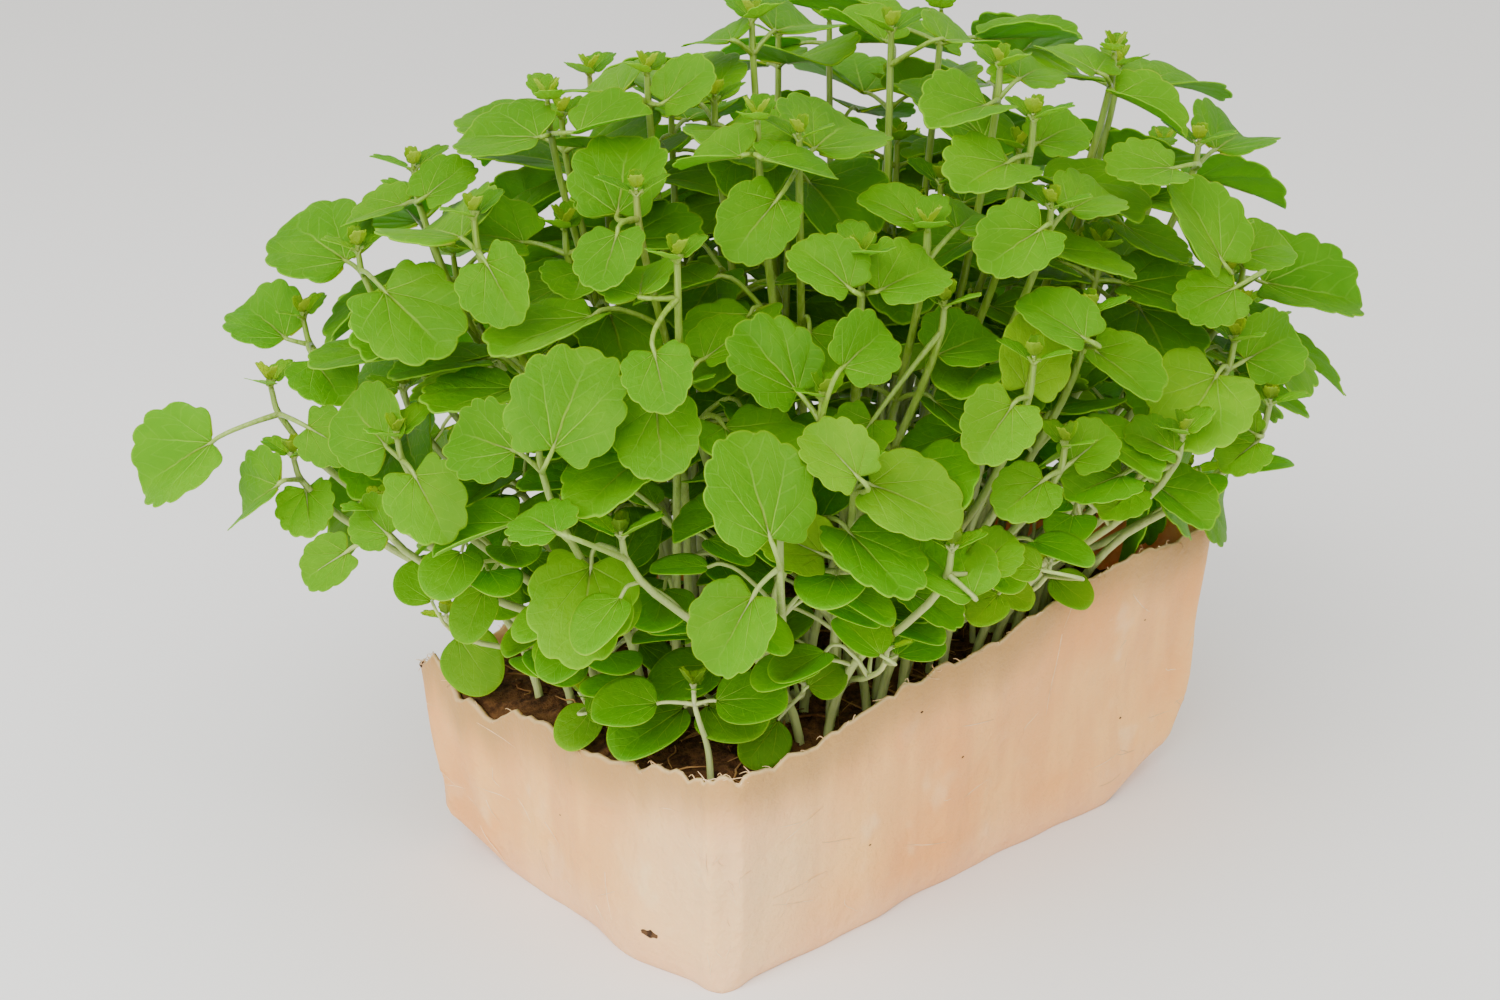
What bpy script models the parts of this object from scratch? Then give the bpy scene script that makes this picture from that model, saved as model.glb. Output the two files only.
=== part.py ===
"""Microgreens tray: leafy seedlings standing in soil in a moulded plant-fibre tray.

Metres, +Z up. The tray's long side runs along X, and the origin is the middle of its flat underside.
"""

import math
import random
from collections import namedtuple

import bmesh
import bpy
from mathutils import Vector, geometry, noise
from mathutils.bvhtree import BVHTree

# Tray, measured at its rim
TRAY_LENGTH = 0.120
TRAY_WIDTH = 0.076
TRAY_INSET = 0.0022
RIM_CORNER_RADIUS = 0.0055
FOOT_CORNER_RADIUS = 0.0065
FOOT_EDGE = 0.0018
WALL = 0.0013
RIM_RAGGED = 0.0005
RIM_LEVEL = 0.040
WALL_LEVELS = (0.0030, 0.0200)
LONG_SIDE_STEPS = 9
SHORT_SIDE_STEPS = 6
CORNER_STEPS = 4

# The torn rim's heights at even steps from the near corner along its long and its short side
FRONT_RIM = (
    0.0378, 0.0369, 0.0373, 0.0390, 0.0405, 0.0411, 0.0416, 0.0430, 0.0449, 0.0462, 0.0467, 0.0460, 0.0472,
)
LEFT_RIM = (
    0.0378, 0.0358, 0.0345, 0.0331, 0.0317, 0.0315, 0.0315, 0.0318, 0.0315, 0.0285, 0.0305, 0.0335, 0.0325,
)
FAR_RIM = 0.0400

# Soil, with a plain hole for each stem
GAP = 0.0004
SOIL_LEVEL = 0.0325
SOIL_BUMP = 0.0012
SOIL_EDGE_DROP = 0.0008
SOIL_LOW_CORNER = 0.0022
SOIL_GRID = (11, 6)
SOIL_GRID_MARGIN = 0.009
ROOT_DEPTH = 0.0080
HOLE_GAP = 0.0005
CLEAR_HOLE = 0.0032

# Leaves and stems
BLADE_THICKNESS = 0.0007
STALK_WIDTH = 0.0007
STALK_REACH = (0.0028, 0.028)
STEM_RADIUS = 0.00085
STEM_TOP_RADIUS = 0.00078
COLLAR_RISE = 0.0012
LOW_HANDLE = 0.40
HIGH_HANDLE = 0.30
BUD_RISE = 0.0035
TIP_LENGTHS = (0.0058, 0.0085)
SPROUT_TIP_LENGTH = 0.0038
TIP_STALK = 0.0005
SEED_LEAF_CHANCE = 0.45
SEED_LEAF_LENGTHS = (0.0080, 0.0105)
SEED_STALK = 0.0045
ROOT_SPACING = 0.0046
ROOT_SHARES = (0.58, 0.50)
ROOT_MARGIN = 0.0085
LOWEST_CROWN = 0.0075
CLEAR_SHEET = 0.0016
CLEAR_STEM = 0.0004

# The photograph's view: it looks across the tray's near corner from a little above
PHOTO_MIDDLE = (750, 500)
PHOTO_FOCUS = 2500
VIEW_TURN = math.radians(-44)
VIEW_RISE = math.radians(20.3)
VIEW_DISTANCE = 0.426
VIEW_AIM = Vector((-0.007, 0.011, 0.055))
FLATTEST = 0.34

# The canopy's rounded outline, drawn in to the tray's size at the rim
CANOPY_MIDDLE = 0.060
CANOPY_RISE = 0.078
CANOPY_HALF = (0.088, 0.066)
NECK_HALF = (0.060, 0.038)
NECK_LEVELS = (0.040, 0.075)
CANOPY_ROUNDNESS = 2.6

# Seedlings read from the photograph in pixels: where the leaf stalks meet the stem, then for each of
# the two leaves its middle (across, down) and its drawn width and height
PHOTO_SEEDLINGS = [
    ((278, 412), (173, 463, 95, 100), (330, 440, 60, 62)),
    ((362, 272), (315, 238, 110, 92), (415, 320, 112, 96)),
    ((303, 350), (262, 316, 88, 74), (322, 393, 80, 60)),
    ((402, 458), (365, 422, 78, 92), (430, 508, 86, 80)),
    ((550, 462), (571, 400, 122, 117), (490, 448, 80, 90)),
    ((592, 552), (598, 627, 133, 122), (585, 500, 90, 56)),
    ((776, 560), (756, 486, 114, 118), (732, 633, 86, 92)),
    ((478, 250), (440, 228, 122, 56), (503, 292, 74, 80)),
    ((420, 205), (448, 180, 66, 56), (378, 212, 74, 44)),
    ((548, 142), (497, 138, 100, 66), (606, 118, 80, 44)),
    ((650, 112), (608, 92, 90, 36), (690, 84, 60, 66)),
    ((618, 224), (630, 172, 106, 96), (588, 255, 84, 66)),
    ((642, 300), (648, 266, 108, 58), (650, 340, 88, 78)),
    ((754, 160), (712, 158, 80, 36), (796, 166, 84, 36)),
    ((750, 56), (716, 38, 74, 32), (798, 28, 104, 44)),
    ((905, 62), (852, 28, 84, 42), (950, 48, 88, 38)),
    ((792, 180), (830, 125, 128, 74), (767, 224, 88, 84)),
    ((806, 402), (773, 352, 95, 98), (850, 356, 74, 80)),
    ((862, 302), (820, 266, 80, 70), (905, 272, 92, 72)),
    ((655, 402), (664, 440, 100, 88), (712, 350, 80, 60)),
    ((862, 482), (914, 500, 106, 88), (836, 450, 78, 78)),
    ((850, 566), (800, 545, 84, 82), (902, 574, 80, 50)),
    ((998, 98), (960, 110, 92, 47), (1034, 70, 70, 44)),
    ((1106, 88), (1070, 54, 78, 42), (1150, 106, 84, 48)),
    ((1025, 152), (985, 170, 96, 55), (1062, 130, 70, 60)),
    ((1195, 166), (1232, 138, 88, 54), (1140, 168, 76, 52)),
    ((1222, 262), (1203, 216, 84, 100), (1262, 240, 70, 58)),
    ((1248, 282), (1313, 290, 112, 92), (1200, 300, 74, 64)),
    ((1228, 368), (1196, 408, 114, 88), (1272, 346, 72, 78)),
    ((1052, 222), (1092, 198, 84, 56), (1004, 256, 86, 80)),
    ((948, 240), (962, 208, 88, 50), (908, 190, 76, 54)),
    ((1090, 345), (1124, 372, 88, 60), (1060, 316, 84, 66)),
    ((1024, 392), (1036, 354, 80, 84), (996, 428, 80, 74)),
    ((922, 362), (966, 336, 96, 66), (888, 410, 74, 60)),
    ((1138, 470), (1096, 484, 76, 60), (1180, 500, 76, 56)),
]

# Young seedlings with only their round seed leaves, low over the rim
PHOTO_SPROUTS = [
    ((695, 702), (650, 730, 86, 58), (734, 718, 74, 52)),
    ((452, 630), (475, 662, 66, 68), (422, 580, 60, 50)),
    ((886, 660), (860, 636, 62, 42), (914, 642, 68, 40)),
    ((1046, 572), (1070, 590, 48, 40), (1020, 560, 48, 40)),
]

# Seedlings of the two sides that the photograph doesn't show, spread evenly over the canopy
HIDDEN_SEEDLINGS = 19
HIDDEN_SPREAD = 34
HIDDEN_FACING = 0.32
LEAF_LENGTHS = (0.0145, 0.0195)
SEED = 20

# How the search for a clear place varies one seedling
TRIES = 1500
ROOT_WANDER = 0.020
SINK_RANGE = 0.018
PIXEL_WANDER = 30

Leaf = namedtuple("Leaf", "base axis normal length width teeth cup droop")
Ring = namedtuple("Ring", "centre along first radius")
Plant = namedtuple("Plant", "rings leaves")
LEFT, BACK, RIGHT, FRONT = range(4)

UP = Vector((0, 0, 1))
VIEW_BACK = Vector((
    math.sin(VIEW_TURN) * math.cos(VIEW_RISE),
    -math.cos(VIEW_TURN) * math.cos(VIEW_RISE),
    math.sin(VIEW_RISE),
))
VIEW_RIGHT = UP.cross(VIEW_BACK).normalized()
VIEW_UP = VIEW_BACK.cross(VIEW_RIGHT)
EYE = VIEW_AIM + VIEW_BACK * VIEW_DISTANCE


def smooth_step(value):
    value = min(1.0, max(0.0, value))
    return value * value * (3 - 2 * value)


def blend(low, high, share):
    return low + (high - low) * share


# Solids from points and faces


def closed_solid(points, faces):
    """A bmesh of these points and faces, in triangles that all face out."""
    solid = bmesh.new()
    corners = [solid.verts.new(point) for point in points]
    for face in faces:
        solid.faces.new([corners[index] for index in face])
    bmesh.ops.recalc_face_normals(solid, faces=solid.faces)
    bmesh.ops.triangulate(solid, faces=solid.faces)
    return solid


def ring_corners(ring, spread=0.0):
    """The four corners of a stem's square section, counter-clockwise round the stem."""
    first = ring.first * (ring.radius + spread)
    second = ring.along.cross(ring.first) * (ring.radius + spread)
    half = math.sqrt(0.5)
    return [ring.centre + (first * x + second * y) * half for x, y in ((1, 1), (-1, 1), (-1, -1), (1, -1))]


def stem_faces(count):
    """The faces of a stem with this many rings, keyed by their lower ring and side, without its ends."""
    faces = {}
    for ring in range(count - 1):
        for side in range(4):
            low = ring * 4 + side
            low_next = ring * 4 + (side + 1) % 4
            faces[(ring, side)] = (low, low_next, low_next + 4, low + 4)
    return faces


def blade(leaf, thickness):
    """Points and faces of a leaf's blade, open at its foot, and the four corners of that opening."""
    side = leaf.normal.cross(leaf.axis)
    flat = [leaf.base - side * (STALK_WIDTH / 2), leaf.base + side * (STALK_WIDTH / 2)]
    rib = []
    if leaf.teeth != 1:
        rib.append((0.5, len(flat)))
        flat.append(leaf_point(leaf, 0.5, 0))
    tip = (1.0, len(flat))
    flat.append(leaf_point(leaf, 1.0, 0))
    triangles = []
    for foot, hand in ((0, -1), (1, 1)):
        edge = [(0.0, foot)]
        for along, across in side_outline(leaf.teeth):
            edge.append((along, len(flat)))
            flat.append(leaf_point(leaf, along, hand * across))
        half = strip([(0.0, foot), *rib, tip], [*edge, tip])
        triangles += [triangle if hand < 0 else triangle[::-1] for triangle in half]
    triangles.append((0, rib[0][1] if rib else tip[1], 1))
    count = len(flat)
    points = [point + leaf.normal * (thickness / 2) for point in flat]
    points += [point - leaf.normal * (thickness / 2) for point in flat]
    faces = list(triangles)
    faces += [(c + count, b + count, a + count) for a, b, c in triangles]
    edges = {(face[i], face[(i + 1) % 3]) for face in triangles for i in range(3)}
    for start, end in sorted(edges):
        if (end, start) not in edges and {start, end} != {0, 1}:
            faces.append((end, start, start + count, end + count))
    return points, faces, (count, count + 1, 1, 0)


def least_twist(port, points, opening):
    """The opening's corners, started where a stalk from the port to them twists least."""
    def stretch(shift):
        turned = opening[shift:] + opening[:shift]
        return sum((points[index] - corner).length for index, corner in zip(turned, port))

    shift = min(range(4), key=stretch)
    return opening[shift:] + opening[:shift]


def plant_solid(plant):
    """A whole seedling as one closed body: its stalks grow out of the sides of its stem."""
    points = [corner for ring in plant.rings for corner in ring_corners(ring)]
    sides = stem_faces(len(plant.rings))
    last = len(points) - 4
    faces = [(3, 2, 1, 0), (last, last + 1, last + 2, last + 3)]
    for ring, side, leaf in plant.leaves:
        port = sides.pop((ring, side))
        start = len(points)
        blade_points, blade_faces, opening = blade(leaf, BLADE_THICKNESS)
        opening = least_twist([points[index] for index in port], blade_points, opening)
        points += blade_points
        faces += [tuple(index + start for index in face) for face in blade_faces]
        foot = [index + start for index in opening]
        for i in range(4):
            j = (i + 1) % 4
            faces.append((port[i], port[j], foot[j], foot[i]))
    faces += list(sides.values())
    return closed_solid(points, faces)


# The view of the photograph, and the canopy's outline in it


def sight_line(across, down):
    """The direction in which the photograph sees this pixel."""
    rightward = VIEW_RIGHT * ((across - PHOTO_MIDDLE[0]) / PHOTO_FOCUS)
    downward = VIEW_UP * ((PHOTO_MIDDLE[1] - down) / PHOTO_FOCUS)
    return (rightward + downward - VIEW_BACK).normalized()


def canopy_level(point):
    """Under 1 inside the canopy's rounded outline, over 1 outside it."""
    low, high = NECK_LEVELS
    swell = smooth_step((point.z - low) / (high - low))
    half_x = blend(NECK_HALF[0], CANOPY_HALF[0], swell)
    half_y = blend(NECK_HALF[1], CANOPY_HALF[1], swell)
    parts = (point.x / half_x, point.y / half_y, (point.z - CANOPY_MIDDLE) / CANOPY_RISE)
    return sum(abs(part) ** CANOPY_ROUNDNESS for part in parts)


def canopy_point(line):
    """Where a sight line enters the canopy, or passes it closest."""
    nearest = None
    lowest = math.inf
    for step in range(250):
        point = EYE + line * (0.30 + 0.001 * step)
        level = canopy_level(point)
        if level < 1:
            return point
        if level < lowest:
            nearest = point
            lowest = level
    return nearest


def canopy_outward(point):
    """The canopy outline's outward direction near a point."""
    step = 0.0005
    here = canopy_level(point)
    slopes = [canopy_level(point + Vector(way) * step) - here for way in ((1, 0, 0), (0, 1, 0), (0, 0, 1))]
    return Vector(slopes).normalized()


def photo_leaf(crown, spot, teeth, sink, rng):
    """One leaf whose place, facing and size come from how the photograph draws it."""
    across, down, wide, high = spot
    line = sight_line(across, down)
    centre = canopy_point(line) + line * sink
    facing = max(FLATTEST, min(wide, high) / max(wide, high)) * rng.uniform(0.92, 1.0)
    outward = math.copysign(1, across - PHOTO_MIDDLE[0])
    if wide >= high:
        lean = (VIEW_UP + VIEW_RIGHT * (outward * 0.35)).normalized()
    else:
        lean = (VIEW_RIGHT * outward + VIEW_UP * 0.5).normalized()
    normal = VIEW_BACK * facing + lean * math.sqrt(1 - facing * facing)
    turn = math.atan2(crown[1] - down, across - crown[0])
    axis = VIEW_RIGHT * math.cos(turn) + VIEW_UP * math.sin(turn)
    axis -= VIEW_BACK * (axis.dot(normal) / normal.dot(VIEW_BACK))
    axis.normalize()
    length = max(wide, high) / PHOTO_FOCUS * -(centre - EYE).dot(VIEW_BACK)
    return Leaf(
        base=centre - axis * (length * 0.48),
        axis=axis,
        normal=normal,
        length=length,
        width=length * rng.uniform(0.94, 1.02),
        teeth=teeth,
        cup=rng.uniform(0.05, 0.16),
        droop=rng.uniform(0.02, 0.16),
    )


def photo_crown(pixel, leaves, behind):
    """Where the two leaf stalks meet, a little behind the leaves' bases."""
    line = sight_line(*pixel)
    depth = sum(-(leaf.base - EYE).dot(VIEW_BACK) for leaf in leaves) / 2 + behind
    return EYE + line * (depth / -line.dot(VIEW_BACK))


# Leaves


def side_outline(teeth):
    """One side of a leaf's edge as (along, across) shares of its length, with the scallops of its teeth."""
    if teeth == 0:
        return [(0.16, 0.40), (0.68, 0.45)]
    if teeth == 1:
        return [(0.45, 0.45)]
    points = []
    count = 2 * teeth
    for index in range(count):
        turn = math.pi * (index + 0.55) / (count + 0.1)
        along = 0.5 - 0.5 * math.cos(turn)
        across = 0.5 * math.sin(turn) ** 0.75 * (1.12 - 0.28 * along)
        reach = 1.05 if index % 2 == 0 else 0.87
        points.append((0.45 + (along - 0.45) * reach, across * reach))
    return points


def leaf_point(leaf, along, across):
    """A point of the blade: its edges rise or hang, and it arches down towards the tip."""
    side = leaf.normal.cross(leaf.axis)
    rise = leaf.cup * abs(across) * 2 - leaf.droop * along * along
    flat = leaf.axis * (along * leaf.length) + side * (across * leaf.width)
    return leaf.base + flat + leaf.normal * (rise * leaf.length)


def strip(rib, edge):
    """Triangles between two chains of (along, index), both running from base to tip."""
    triangles = []
    i = 0
    j = 0
    while i < len(rib) - 1 or j < len(edge) - 1:
        edge_is_next = j < len(edge) - 1 and (i == len(rib) - 1 or edge[j + 1][0] <= rib[i + 1][0])
        if edge_is_next:
            triangles.append((rib[i][1], edge[j][1], edge[j + 1][1]))
            j += 1
        else:
            triangles.append((rib[i][1], edge[j][1], rib[i + 1][1]))
            i += 1
    return [triangle for triangle in triangles if len(set(triangle)) == 3]


def small_leaf(foot, way, tilt, stalk_length, length, teeth, rng):
    """A seed leaf, or a young leaf at the stem's tip, rising outward from the stem."""
    turned = (way + Vector((rng.uniform(-0.2, 0.2), rng.uniform(-0.2, 0.2), 0))).normalized()
    axis = (turned * math.cos(tilt) + UP * math.sin(tilt)).normalized()
    normal = axis.cross(UP).normalized().cross(axis)
    size = length * rng.uniform(0.88, 1.08)
    return Leaf(
        base=foot + axis * (STEM_RADIUS + stalk_length),
        axis=(axis - normal * 0.2).normalized(),
        normal=(normal + axis * 0.2).normalized(),
        length=size,
        width=size * (0.95 if teeth == 0 else 0.78),
        teeth=teeth,
        cup=rng.uniform(0.06, 0.14),
        droop=rng.uniform(0.0, 0.10),
    )


# The growth of one seedling


def soil_height(x, y):
    """The lumpy top of the soil, lower towards the tray's lowest corner."""
    lumps = noise.noise(Vector((x * 90, y * 90, 1.7))) + 0.5 * noise.noise(Vector((x * 210, y * 210, 4.2)))
    low_corner = smooth_step((y - x) / (TRAY_LENGTH + TRAY_WIDTH) * 2)
    return SOIL_LEVEL + SOIL_BUMP * lumps - SOIL_LOW_CORNER * low_corner


def root_place(crown, wander, rng):
    """Where the stem enters the soil: under the crown, drawn in towards the tray's middle."""
    turn = rng.uniform(0, math.tau)
    reach = wander * math.sqrt(rng.random())
    x = crown.x * ROOT_SHARES[0] + reach * math.cos(turn)
    y = crown.y * ROOT_SHARES[1] + reach * math.sin(turn) * 0.7
    limit_x = TRAY_LENGTH / 2 - ROOT_MARGIN
    limit_y = TRAY_WIDTH / 2 - ROOT_MARGIN
    return Vector((min(limit_x, max(-limit_x, x)), min(limit_y, max(-limit_y, y)), 0))


def stem_rings(root, crown, span, bud_rise, seed_share):
    """Sections from the stem's foot in the soil, straight out of its hole, then leaning out to its bud.

    A leaf pair's node is two sections, one leaf's thickness apart. The last two nodes are the crown
    and the bud, and the seed leaves' node comes before them where there is one.
    """
    ground = soil_height(root.x, root.y)
    collar = Vector((root.x, root.y, ground + COLLAR_RISE))
    lean = crown - collar
    low_handle = collar + UP * (lean.z * LOW_HANDLE)
    high_handle = crown - (lean.normalized() * 0.6 + UP * 0.4) * (lean.length * HIGH_HANDLE)
    handles = (collar, low_handle, high_handle, crown)
    spots = [(Vector((root.x, root.y, ground - ROOT_DEPTH)), UP), (collar, UP)]
    shares = [(0.33, False), (0.67, False)]
    if seed_share:
        shares = [(seed_share * 0.5, False), (seed_share, True), (seed_share * 0.5 + 0.5, False)]
    shares.append((1.0, True))
    for share, is_node in shares:
        centre, along = curve_point(handles, share)
        if is_node:
            half = along * (BLADE_THICKNESS / 2)
            spots += [(centre - half, along), (centre + half, along)]
        else:
            spots.append((centre, along))
    rise = (along + UP).normalized()
    bud = crown + rise * bud_rise
    spots += [(bud, rise), (bud + rise * BLADE_THICKNESS, rise)]
    rings = []
    for index, (centre, along) in enumerate(spots):
        radius = blend(STEM_RADIUS, STEM_TOP_RADIUS, index / (len(spots) - 1))
        rings.append(Ring(centre, along, (span - along * span.dot(along)).normalized(), radius))
    return rings


def curve_point(handles, share):
    """A point of the stem's curve and its direction there."""
    rest = 1 - share
    a, b, c, d = handles
    point = a * rest ** 3 + b * (3 * rest * rest * share) + c * (3 * rest * share * share) + d * share ** 3
    along = (b - a) * (rest * rest) + (c - b) * (2 * rest * share) + (d - c) * (share * share)
    return point, along.normalized()


def seedling(crown, leaves, root, rng, sprout):
    """The whole plant: stem, its two large leaves, the young pair at the tip and the seed leaves below."""
    ways = [(leaf.base - crown).normalized() for leaf in leaves]
    span = ways[0] - ways[1]
    span.z *= 0.3
    span.normalize()
    has_seed_leaves = not sprout and crown.z > 0.075 and rng.random() < SEED_LEAF_CHANCE
    seed_share = rng.uniform(0.42, 0.62) if has_seed_leaves else 0
    bud_rise = BUD_RISE * (0.5 if sprout else rng.uniform(0.8, 1.4))
    rings = stem_rings(root, crown, span, bud_rise, seed_share)
    grown = [(len(rings) - 4, FRONT, leaves[0]), (len(rings) - 4, BACK, leaves[1])]
    bud = rings[-2]
    across = bud.along.cross(bud.first)
    tip_length = SPROUT_TIP_LENGTH if sprout else rng.uniform(*TIP_LENGTHS)
    for side, hand in ((LEFT, 1), (RIGHT, -1)):
        leaf = small_leaf(bud.centre, across * hand, math.radians(40), TIP_STALK, tip_length, 1, rng)
        grown.append((len(rings) - 2, side, leaf))
    if has_seed_leaves:
        node = rings[3]
        across = node.along.cross(node.first)
        length = rng.uniform(*SEED_LEAF_LENGTHS)
        for side, hand in ((LEFT, 1), (RIGHT, -1)):
            leaf = small_leaf(node.centre, across * hand, math.radians(14), SEED_STALK, length, 0, rng)
            grown.append((3, side, leaf))
    return Plant(rings, grown)


def from_photo(row, teeth, attempt, rng):
    """A seedling whose two large leaves are where the photograph shows them.

    Later attempts let the leaves sit deeper in the canopy, the higher one deepest, and a little aside.
    """
    pixel, *spots = row
    drawn = random.Random(f"{pixel}")
    loose = attempt / (TRIES / 2)
    top = min(spot[1] for spot in spots)
    leaves = []
    for number, (across, down, wide, high) in enumerate(spots):
        wander = PIXEL_WANDER * loose * (0.35 + 0.65 * number)
        moved = (
            across + rng.uniform(-wander, wander), down + rng.uniform(-wander, wander),
            wide * (1 - 0.10 * loose), high * (1 - 0.10 * loose),
        )
        sink = SINK_RANGE * loose * rng.uniform(-0.15, 1.0 if down == top else 0.6)
        leaves.append(photo_leaf(pixel, moved, teeth, sink, drawn))
    wander = PIXEL_WANDER * loose
    moved = (pixel[0] + rng.uniform(-wander, wander), pixel[1] + rng.uniform(-wander, wander))
    return photo_crown(moved, leaves, rng.uniform(0.002 - 0.006 * loose, 0.004 + 0.006 * loose)), leaves


def from_rule(direction, attempt, rng):
    """A seedling of a side that the photograph doesn't show, whose leaves follow the canopy's outline."""
    inner = Vector((0, 0, CANOPY_MIDDLE))
    reach = 0.05
    while canopy_level(inner + direction * reach) < 1:
        reach += 0.001
    crown = inner + direction * (reach - 0.007 - SINK_RANGE * rng.random() * min(1.0, attempt / 80))
    outward = canopy_outward(crown)
    normal = (outward * 0.55 + UP * 0.45).normalized()
    turn = rng.uniform(0, math.pi)
    first = normal.orthogonal().normalized()
    second = normal.cross(first)
    leaves = []
    for hand in (-1, 1):
        way = (first * math.cos(turn) + second * math.sin(turn)) * hand
        axis = (way + normal * rng.uniform(-0.1, 0.35)).normalized()
        side = axis.cross(normal).normalized()
        length = rng.uniform(*LEAF_LENGTHS)
        leaves.append(Leaf(
            base=crown + axis * rng.uniform(0.0055, 0.0095),
            axis=axis,
            normal=side.cross(axis),
            length=length,
            width=length * rng.uniform(0.92, 1.0),
            teeth=3,
            cup=rng.uniform(0.04, 0.16),
            droop=rng.uniform(0.05, 0.25),
        ))
    return crown, leaves


def hidden_directions():
    """Even directions over the dome, kept where they point away from the photograph's view."""
    golden = math.pi * (3 - math.sqrt(5))
    directions = []
    for index in range(HIDDEN_SPREAD):
        height = 0.95 - 1.05 * index / HIDDEN_SPREAD
        ring = math.sqrt(1 - height * height)
        direction = Vector((math.cos(index * golden) * ring, math.sin(index * golden) * ring, height))
        across = (direction.x * CANOPY_HALF[0], direction.y * CANOPY_HALF[1])
        stretched = Vector((*across, direction.z * CANOPY_RISE))
        if direction.dot(VIEW_BACK) < HIDDEN_FACING:
            directions.append(stretched.normalized())
    return directions[:HIDDEN_SEEDLINGS]


def blade_tree(leaf, thickness):
    """A search tree of one blade at a given thickness."""
    points, faces, _ = blade(leaf, thickness)
    return BVHTree.FromPolygons(points, faces)


def stem_tree(plant, spread):
    """A search tree of the stem above its collar and of the leaf stalks, made thicker by a spread."""
    rings = plant.rings[1:]
    points = [corner for ring in rings for corner in ring_corners(ring, spread)]
    faces = list(stem_faces(len(rings)).values())
    for index, _, leaf in plant.leaves:
        middle = plant.rings[index].centre
        way = (leaf.base - middle).normalized()
        side = way.orthogonal().normalized()
        for centre, radius in ((middle, STEM_RADIUS), (leaf.base, STALK_WIDTH * math.sqrt(0.5))):
            points += ring_corners(Ring(centre, way, side, radius), spread)
        start = len(points) - 8
        faces += [tuple(corner + start for corner in face) for face in stem_faces(2).values()]
    return BVHTree.FromPolygons(points, faces)


def own_clashes(plant):
    """How many faces of one seedling cross its other parts."""
    blades = [blade_tree(leaf, BLADE_THICKNESS * 1.4) for _, _, leaf in plant.leaves]
    stem = stem_tree(Plant(plant.rings, []), 0.0002)
    count = 0
    for index, tree in enumerate(blades):
        count += sum(len(tree.overlap(other)) for other in blades[:index])
        if plant.leaves[index][2].teeth != 1:
            count += len(tree.overlap(stem))
    for index, (ring, side, leaf) in enumerate(plant.leaves):
        stalk = stem_tree(Plant([plant.rings[ring]] * 4, [(0, side, leaf)]), 0)
        count += sum(len(stalk.overlap(tree)) for other, tree in enumerate(blades) if other != index)
    return count


def stalks_are_sound(plant):
    """Whether each large leaf's stalk leaves its side of the stem without folding back on itself."""
    if plant.rings[-2].centre.z < SOIL_LEVEL + LOWEST_CROWN:
        return False
    for index, side, leaf in plant.leaves:
        ring = plant.rings[index]
        reach = leaf.base - ring.centre
        outward = {FRONT: ring.first, BACK: -ring.first}.get(side)
        if outward is None:
            continue
        if not STALK_REACH[0] < reach.length < STALK_REACH[1] or reach.normalized().dot(outward) < 0.18:
            return False
        if reach.normalized().dot(leaf.axis) < -0.3:
            return False
    return True


def place_seedling(make, sprout, standing, trees, roots, rng):
    """Tries places for a seedling until it is clear of itself and of all that already stands."""
    best = None
    fewest = math.inf
    for attempt in range(TRIES):
        crown, leaves = make(attempt, rng)
        root = root_place(crown, ROOT_WANDER * (0.2 + attempt / TRIES), rng)
        if any((root - other).length < ROOT_SPACING for other in roots):
            continue
        plant = seedling(crown, leaves, root, rng, sprout)
        if not stalks_are_sound(plant):
            continue
        own = [stem_tree(plant, CLEAR_STEM)] + [blade_tree(leaf, CLEAR_SHEET) for _, _, leaf in plant.leaves]
        clashes = own_clashes(plant) * 3
        clashes += sum(len(tree.overlap(other)) for tree in own for other in trees)
        if clashes < fewest:
            best = (plant, own, root)
            fewest = clashes
        if clashes == 0:
            break
    if best is None:
        print(f"no sound place for seedling {len(standing) + 1}")
        return
    plant, own, root = best
    standing.append(plant)
    trees += own
    roots.append(root)
    if fewest:
        print(f"seedling {len(standing):02d} still touches at {fewest} places")


def all_seedlings(obstacles):
    """Every plant of the tray, each clear of the ones before it and of the obstacles."""
    rng = random.Random(SEED)
    standing = []
    trees = list(obstacles)
    roots = []
    for row in PHOTO_SPROUTS:
        place_seedling(lambda n, r, row=row: from_photo(row, 0, n, r), True, standing, trees, roots, rng)
    for row in PHOTO_SEEDLINGS:
        place_seedling(lambda n, r, row=row: from_photo(row, 3, n, r), False, standing, trees, roots, rng)
    for way in hidden_directions():
        place_seedling(lambda n, r, way=way: from_rule(way, n, r), False, standing, trees, roots, rng)
    return standing


# Tray and soil


def tray_outline(level, inset):
    """The tray's rounded outline at a height, as (x, y) points in order round it."""
    share = level / RIM_LEVEL
    half_x = TRAY_LENGTH / 2 - TRAY_INSET * (1 - share) - inset
    half_y = TRAY_WIDTH / 2 - TRAY_INSET * (1 - share) - inset
    radius = blend(FOOT_CORNER_RADIUS, RIM_CORNER_RADIUS, min(1, share)) - inset * 0.6
    points = []
    for quarter, (sign_x, sign_y) in enumerate(((1, -1), (1, 1), (-1, 1), (-1, -1))):
        corner = Vector((sign_x * (half_x - radius), sign_y * (half_y - radius)))
        start = math.pi / 2 * (quarter - 1)
        for step in range(CORNER_STEPS + 1):
            turn = start + math.pi / 2 * step / CORNER_STEPS
            points.append(corner + Vector((math.cos(turn), math.sin(turn))) * radius)
        next_signs = ((1, 1), (-1, 1), (-1, -1), (1, -1))[quarter]
        goal = Vector((next_signs[0] * (half_x - radius), next_signs[1] * (half_y - radius)))
        goal += Vector((math.cos(start + math.pi / 2), math.sin(start + math.pi / 2))) * radius
        steps = SHORT_SIDE_STEPS if quarter % 2 == 0 else LONG_SIDE_STEPS
        last = points[-1]
        points += [last.lerp(goal, step / steps) for step in range(1, steps)]
    return points


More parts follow.
